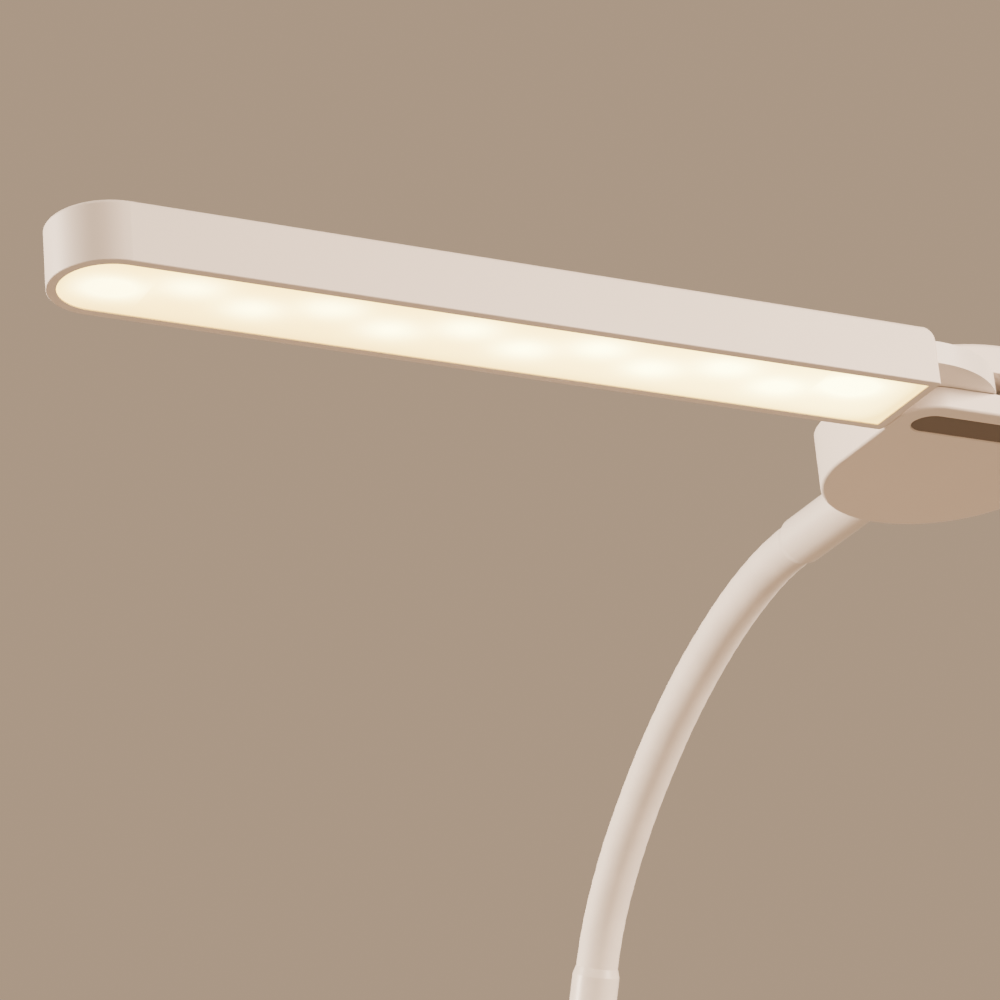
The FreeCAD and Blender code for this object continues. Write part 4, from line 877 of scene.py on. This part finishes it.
@dataclass
class Gooseneck:
    """The sleeved gooseneck: one smooth sleeve in seven pieces, each reaching across one joint."""

    turns: tuple[float, ...] = (14.0, 8.5, 5.5, 5.0, 6.0, 6.0, 8.0, 12.0)
    segment: float = 20.9 * MM
    outer: float = 6.34 * MM
    inner: float = 4.66 * MM
    ripple: float = 0.05 * MM
    ripple_pitch: float = 6.2 * MM
    ripple_share: float = 0.7
    slow_pitches: float = 5.3
    slow_phase: float = 0.8
    ring_step: float = 0.95 * MM
    around: int = 48
    blend_reach: float = 8.0 * MM

    def heading(self, lean: float) -> Vector:
        """The direction that leans from +Z towards -Y by an angle in degrees."""
        return Vector((0, -math.sin(math.radians(lean)), math.cos(math.radians(lean))))

    def bend_side(self, lean: float) -> Vector:
        """The direction towards the centre of the bend."""
        return Vector((0, -math.cos(math.radians(lean)), -math.sin(math.radians(lean))))

    def stations(self) -> list[tuple[Vector, float]]:
        """The neck's start, its pivots and its end, each with its lean."""
        lean = 90.0 - sum(self.turns)
        first = self.segment / math.radians(self.turns[0])
        pivot = Vector(joint("neck_1_pitch")["pos_m"])
        point = pivot - (self.bend_side(lean) - self.bend_side(lean + self.turns[0])) * first
        found = [(point, lean)]
        for turn in self.turns:
            bend = self.segment / math.radians(turn)
            point = point + (self.bend_side(lean) - self.bend_side(lean + turn)) * bend
            lean += turn
            found.append((point, lean))
        return found

    def at(self, along: float) -> tuple[Vector, float]:
        """The centre line's point and lean at a distance from the lower ferrule."""
        index = min(int(along / self.segment), len(self.turns) - 1)
        point, lean = self.stations()[index]
        bend = self.segment / math.radians(self.turns[index])
        here = lean + math.degrees((along - index * self.segment) / bend)
        return point + (self.bend_side(lean) - self.bend_side(here)) * bend, here

    def radius(self, along: float) -> float:
        """The sleeve's outer radius, with the links faintly showing through."""
        wave = math.sin(2 * math.pi * along / self.ripple_pitch)
        slow = math.sin(2 * math.pi * along / (self.slow_pitches * self.ripple_pitch) + self.slow_phase)
        return self.outer + self.ripple * (self.ripple_share * wave + (1 - self.ripple_share) * slow)

    def piece(self, name: str, start: float, end: float) -> bpy.types.Object:
        """One closed stretch of the sleeve.

        Args:
            name: the piece's name.
            start: where it starts along the neck.
            end: where it ends.
        Returns:
            The piece, with normals that carry on into its neighbours.
        """
        count = max(4, round((end - start) / self.ring_step))
        points, normals, faces = [], [], []
        side = Vector((1, 0, 0))
        for n in range(count + 1):
            along = start + (end - start) * n / count
            centre, lean = self.at(along)
            back = self.bend_side(lean)
            for radius, sign in ((self.radius(along), 1), (self.inner, -1)):
                for k in range(self.around):
                    turn = 2 * math.pi * k / self.around
                    out = side * math.cos(turn) + back * math.sin(turn)
                    points.append(centre + out * radius)
                    normals.append(out * sign)
        row = 2 * self.around
        for n in range(count):
            for k in range(self.around):
                a, b = n * row + k, n * row + (k + 1) % self.around
                faces.append((a, a + row, b + row, b))
                a, b = a + self.around, b + self.around
                faces.append((a, b, b + row, a + row))
        for n, flip in ((0, False), (count, True)):
            for k in range(self.around):
                a, b = n * row + k, n * row + (k + 1) % self.around
                face = (a, b, b + self.around, a + self.around)
                faces.append(face[::-1] if flip else face)
        piece = mesh_object(name, points, faces)
        caps = 2 * self.around
        wall_faces = len(piece.data.polygons) - caps
        loops = []
        for polygon in piece.data.polygons:
            for corner in polygon.vertices:
                loops.append(normals[corner] if polygon.index < wall_faces else polygon.normal)
        piece.data.normals_split_custom_set(loops)
        return piece

    def build(self) -> None:
        """Makes the sleeve's pieces and dresses the links inside."""
        last = len(self.turns)
        for number in range(1, last):
            start = 0.0 if number == 1 else (number - 0.5) * self.segment
            end = last * self.segment if number == last - 1 else (number + 0.5) * self.segment
            piece = self.piece(f"sleeve_over_joint_{number}", start, end)
            SLEEVE.dress(piece)
            replaced = [f"neck_sleeve_{number}"] + ([f"neck_sleeve_{last}"] if number == last - 1 else [])
            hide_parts(*replaced)
            pivot = number * self.segment
            low, _ = self.at(pivot - self.blend_reach)
            high, _ = self.at(pivot + self.blend_reach)
            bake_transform(piece)
        LINK_STEEL.dress(*nodes(*[f"neck_hose_{n}" for n in range(1, last + 1)]))
        FERRULE_PAINT.dress(*nodes("lower_ferrule"))
        log.info("gooseneck: %d sleeve pieces over %d links", last - 1, last)


@dataclass
class TorsionSpring:
    """The clip's spring in two pieces, so that each leg follows its own half of the clip.

    The coil and the upper leg stay on the base. The coil's last stretch and the lower leg turn with
    the jaw, and the coil runs on inside that stretch with a thinner wire so that no gap opens.
    """

    coil: float = 3.6 * MM
    wire: float = 0.9 * MM
    pitch: float = 2.0 * MM
    leg: float = 16.0 * MM
    first_angle: float = 98.5
    last_angle: float = 3116.0
    turning: float = 200.0
    lap: float = 40.0
    lap_wire: float = 0.82 * MM
    step: float = 10.0
    around: int = 14

    def centre(self, angle: float) -> Vector:
        """The coil's middle line at an angle about the pin, in degrees."""
        turn = math.radians(angle)
        along = self.pitch * (angle - (self.first_angle + self.last_angle) / 2) / 360.0
        return Vector(joint("clip_jaw")["pos_m"]) + Vector(
            (along, self.coil * math.cos(turn), self.coil * math.sin(turn))
        )

    def heading(self, angle: float) -> Vector:
        """The way the coil runs on at an angle."""
        turn = math.radians(angle)
        return Vector((0.0, -math.sin(turn), math.cos(turn)))

    def arc(self, start: float, end: float) -> list[Vector]:
        """Points along the coil between two angles."""
        count = max(2, round((end - start) / self.step))
        return [self.centre(start + (end - start) * n / count) for n in range(count + 1)]

    def tube(self, name: str, centres: list[Vector], radii: list[float]) -> bpy.types.Object:
        """A closed round wire along a line of points.

        Args:
            name: the piece's name.
            centres: the wire's middle line.
            radii: its radius at each point.
        Returns:
            The piece.
        """
        points, faces = [], []
        for n, (centre, radius) in enumerate(zip(centres, radii)):
            way = (centres[min(n + 1, len(centres) - 1)] - centres[max(n - 1, 0)]).normalized()
            across = way.cross(Vector((1, 0, 0))).normalized()
            side = across.cross(way)
            for k in range(self.around):
                turn = 2 * math.pi * k / self.around
                points.append(centre + (side * math.cos(turn) + across * math.sin(turn)) * radius)
        for n in range(len(centres) - 1):
            for k in range(self.around):
                a, b = n * self.around + k, n * self.around + (k + 1) % self.around
                faces.append((a, b, b + self.around, a + self.around))
        faces.append(tuple(range(self.around))[::-1])
        faces.append(tuple(range(len(points) - self.around, len(points))))
        return mesh_object(name, points, faces)

    def build(self) -> None:
        """Makes both pieces in place of the CAD spring."""
        split = self.last_angle - self.turning
        tip = self.centre(self.first_angle) - self.heading(self.first_angle) * self.leg
        whole = [tip] + self.arc(self.first_angle, split)
        lapped = self.arc(split, split + self.lap)[1:]
        fixed = whole + lapped
        radii = [self.wire] * len(whole) + [self.lap_wire] * len(lapped)
        moving = self.arc(split, self.last_angle)
        moving.append(moving[-1] + self.heading(self.last_angle) * self.leg)
        for name, body, centres, sizes in (
            ("clip_spring_coil", "clip", fixed, radii),
            ("clip_spring_lower_leg", "lower_jaw", moving, [self.wire] * len(moving)),
        ):
            piece = self.tube(name, centres, sizes)
            SPRING_STEEL.dress(piece)
            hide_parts("clip_spring")
            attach(piece, body)


@dataclass
class Clip:
    """The clip: casings, jaw, pads, grip, hinge, spring and the charging parts inside."""

    pad_corner: float = 4.0 * MM
    pad_ribs: int = 9
    pad_rib_depth: float = 0.7 * MM
    grip_ribs: int = 8
    grip_size: tuple[float, float, float] = (34.0 * MM, 30.0 * MM, 1.8 * MM)
    grip_corner: float = 3.0 * MM
    grip_rib_depth: float = 0.6 * MM
    handle_angle: float = 34.0
    contacts: int = 8
    contact_pitch: float = 0.7 * MM
    contact_half: float = 0.16 * MM
    contact_thick: float = 0.05 * MM
    contact_length: float = 3.2 * MM
    contact_lift: float = 0.35 * MM
    contact_inset: float = 1.6 * MM

    def pad(self, node: str, body: str, face_down: bool) -> None:
        """Replaces a jaw pad with a ribbed one of the same size.

        Args:
            node: the CAD pad.
            body: what it rides on.
            face_down: whether its face points down.
        """
        low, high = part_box(node)
        size = Vector(high) - Vector(low)
        middle = middle_of(node)
        back = high[2] if face_down else low[2]
        turn = Matrix.Rotation(math.pi, 4, "Y") if face_down else Matrix.Identity(4)
        place = Matrix.Translation((middle.x, middle.y, back)) @ turn
        pad = RibbedPad(f"{node}_ribbed", size.x, size.y, self.pad_corner, size.z, self.pad_ribs,
                        self.pad_rib_depth)
        piece = pad.build(place)
        PAD_RUBBER.dress(piece)
        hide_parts(node)
        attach(piece, body)

    def grip(self) -> None:
        """Replaces the handle's grip with a ribbed one."""
        width, length, thick = self.grip_size
        middle = middle_of("handle_grip")
        turn = Matrix.Rotation(math.radians(-self.handle_angle), 4, "X") @ Matrix.Rotation(math.pi, 4, "Y")
        place = Matrix.Translation(middle) @ turn @ Matrix.Translation((0, 0, -thick / 2))
        grip = RibbedPad("handle_grip_ribbed", width, length, self.grip_corner, thick, self.grip_ribs,
                         self.grip_rib_depth)
        piece = grip.build(place)
        PAD_RUBBER.dress(piece)
        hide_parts("handle_grip")
        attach(piece, "lower_jaw")

    def inlet_contacts(self) -> None:
        """Gold contacts on the inlet's blade."""
        middle = middle_of("usb_c_inlet")
        half, thick, length = self.contact_half, self.contact_thick, self.contact_length
        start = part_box("usb_c_inlet")[1][1] - self.contact_inset - length
        top = middle.z + self.contact_lift
        points, faces = [], []
        for n in range(self.contacts):
            x = middle.x + (n - (self.contacts - 1) / 2) * self.contact_pitch
            first = len(points)
            for z in (top - thick, top + thick):
                for dx, dy in ((-half, 0), (half, 0), (half, length), (-half, length)):
                    points.append((x + dx, start + dy, z))
            faces += [tuple(first + k for k in face) for face in BOX_FACES]
        piece = mesh_object("inlet_contacts", points, faces, smooth=False)
        GOLD.dress(piece)
        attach(piece, "clip")

    def build(self) -> None:
        """Dresses the clip's pieces and makes its soft parts."""
        CASING.dress(*nodes("clip_base", "clip_cover", "clip_lower_jaw"))
        STEEL.dress(*nodes("clip_screws", "clip_hinge_pin", "clip_pin_ring", "lower_ferrule_nut"))
        FOIL.dress(*nodes("battery_cell"))
        GREEN_BOARD.dress(*nodes("charge_board"))
        NICKEL.dress(*nodes("usb_c_inlet"))
        PIPE.dress(*nodes("charge_light_pipe"))
        self.pad("upper_jaw_pad", "clip", face_down=True)
        self.pad("lower_jaw_pad", "lower_jaw", face_down=False)
        self.grip()
        self.inlet_contacts()
        TorsionSpring().build()
        log.info("clip: casings, jaw, ribbed pads and grip, inlet contacts")


@dataclass(frozen=True)
class SoftLight:
    """A square area light: its name, place, side, power in watts and colour."""

    name: str
    place: tuple[float, float, float]
    size: float
    power: float
    colour: Colour

    def build(self, aim: Vector) -> None:
        """Hangs the light, turned towards a point."""
        light = bpy.data.lights.new(self.name, "AREA")
        light.size, light.energy, light.color = self.size, self.power, self.colour
        lamp = bpy.data.objects.new(self.name, light)
        lamp.location = self.place
        lamp.rotation_euler = (aim - Vector(self.place)).to_track_quat("-Z", "Y").to_euler()
        bpy.context.scene.collection.objects.link(lamp)


@dataclass
class Studio:
    """Floor, lights and camera."""

    aim: tuple[float, float, float] = (-0.0807, -0.0846, 0.1576)
    distance: float = 1.17
    azimuth: float = 29.325
    elevation: float = 23.298
    roll: float = 5.162
    lens: float = 148.09
    floor_z: float = -1.6
    floor_size: float = 14.0
    world: Colour = (0.50, 0.355, 0.235)
    world_strength: float = 1.0
    clip_near: float = 0.01
    clip_far: float = 100.0
    floor_finish: MouldedPlastic = MouldedPlastic(
        "pale_floor", (0.60, 0.53, 0.45), roughness=0.85, grain=4.0 * MM, depth=0.1 * MM
    )
    lights: tuple[SoftLight, ...] = (
        SoftLight("key_front_right", (0.95, -1.45, 0.50), 0.8, 92.0, (1.0, 0.80, 0.62)),
        SoftLight("key_left", (-1.70, 0.62, 0.46), 0.7, 112.0, (1.0, 0.82, 0.65)),
        SoftLight("top_soft", (0.1, 0.2, 1.4), 1.2, 5.0, (1.0, 0.86, 0.72)),
    )

    def floor(self) -> None:
        """A plain pale floor well below the lamp."""
        half = self.floor_size / 2
        corners = [(-half, -half), (half, -half), (half, half), (-half, half)]
        points = [(x, y, self.floor_z) for x, y in corners]
        floor = mesh_object("floor", points, [(0, 1, 2, 3)], smooth=False)
        self.floor_finish.dress(floor)

    def camera(self) -> None:
        """The camera, below the lamp and looking up at it."""
        turn, rise = math.radians(self.azimuth), math.radians(self.elevation)
        forward = Vector((math.sin(turn) * math.cos(rise), math.cos(turn) * math.cos(rise), math.sin(rise)))
        level = Vector((math.cos(turn), -math.sin(turn), 0))
        up = level.cross(forward)
        tilt = math.radians(self.roll)
        right = level * math.cos(tilt) - up * math.sin(tilt)
        up = right.cross(forward)
        data = bpy.data.cameras.new("camera")
        data.lens, data.clip_start, data.clip_end = self.lens, self.clip_near, self.clip_far
        camera = bpy.data.objects.new("camera", data)
        basis = Matrix((right, up, -forward)).transposed().to_4x4()
        camera.matrix_world = Matrix.Translation(Vector(self.aim) - forward * self.distance) @ basis
        bpy.context.scene.collection.objects.link(camera)
        bpy.context.scene.camera = camera

    def build(self) -> None:
        """Sets the stage."""
        world = bpy.data.worlds.new("soft_room")
        world.use_nodes = True
        background = world.node_tree.nodes["Background"]
        background.inputs["Color"].default_value = (*self.world, 1.0)
        background.inputs["Strength"].default_value = self.world_strength
        bpy.context.scene.world = world
        self.floor()
        for light in self.lights:
            light.build(Vector(self.aim))
        self.camera()
        log.info("studio: floor, %d soft lights, camera", len(self.lights))


def main() -> None:
    """Builds the lamp's looks in order."""
    logging.basicConfig(level=logging.INFO, format="%(name)s: %(message)s")
    for part in (Studio(), LightBar(), Head(), Gooseneck(), Clip()):
        part.build()


if __name__ == "__main__":
    main()
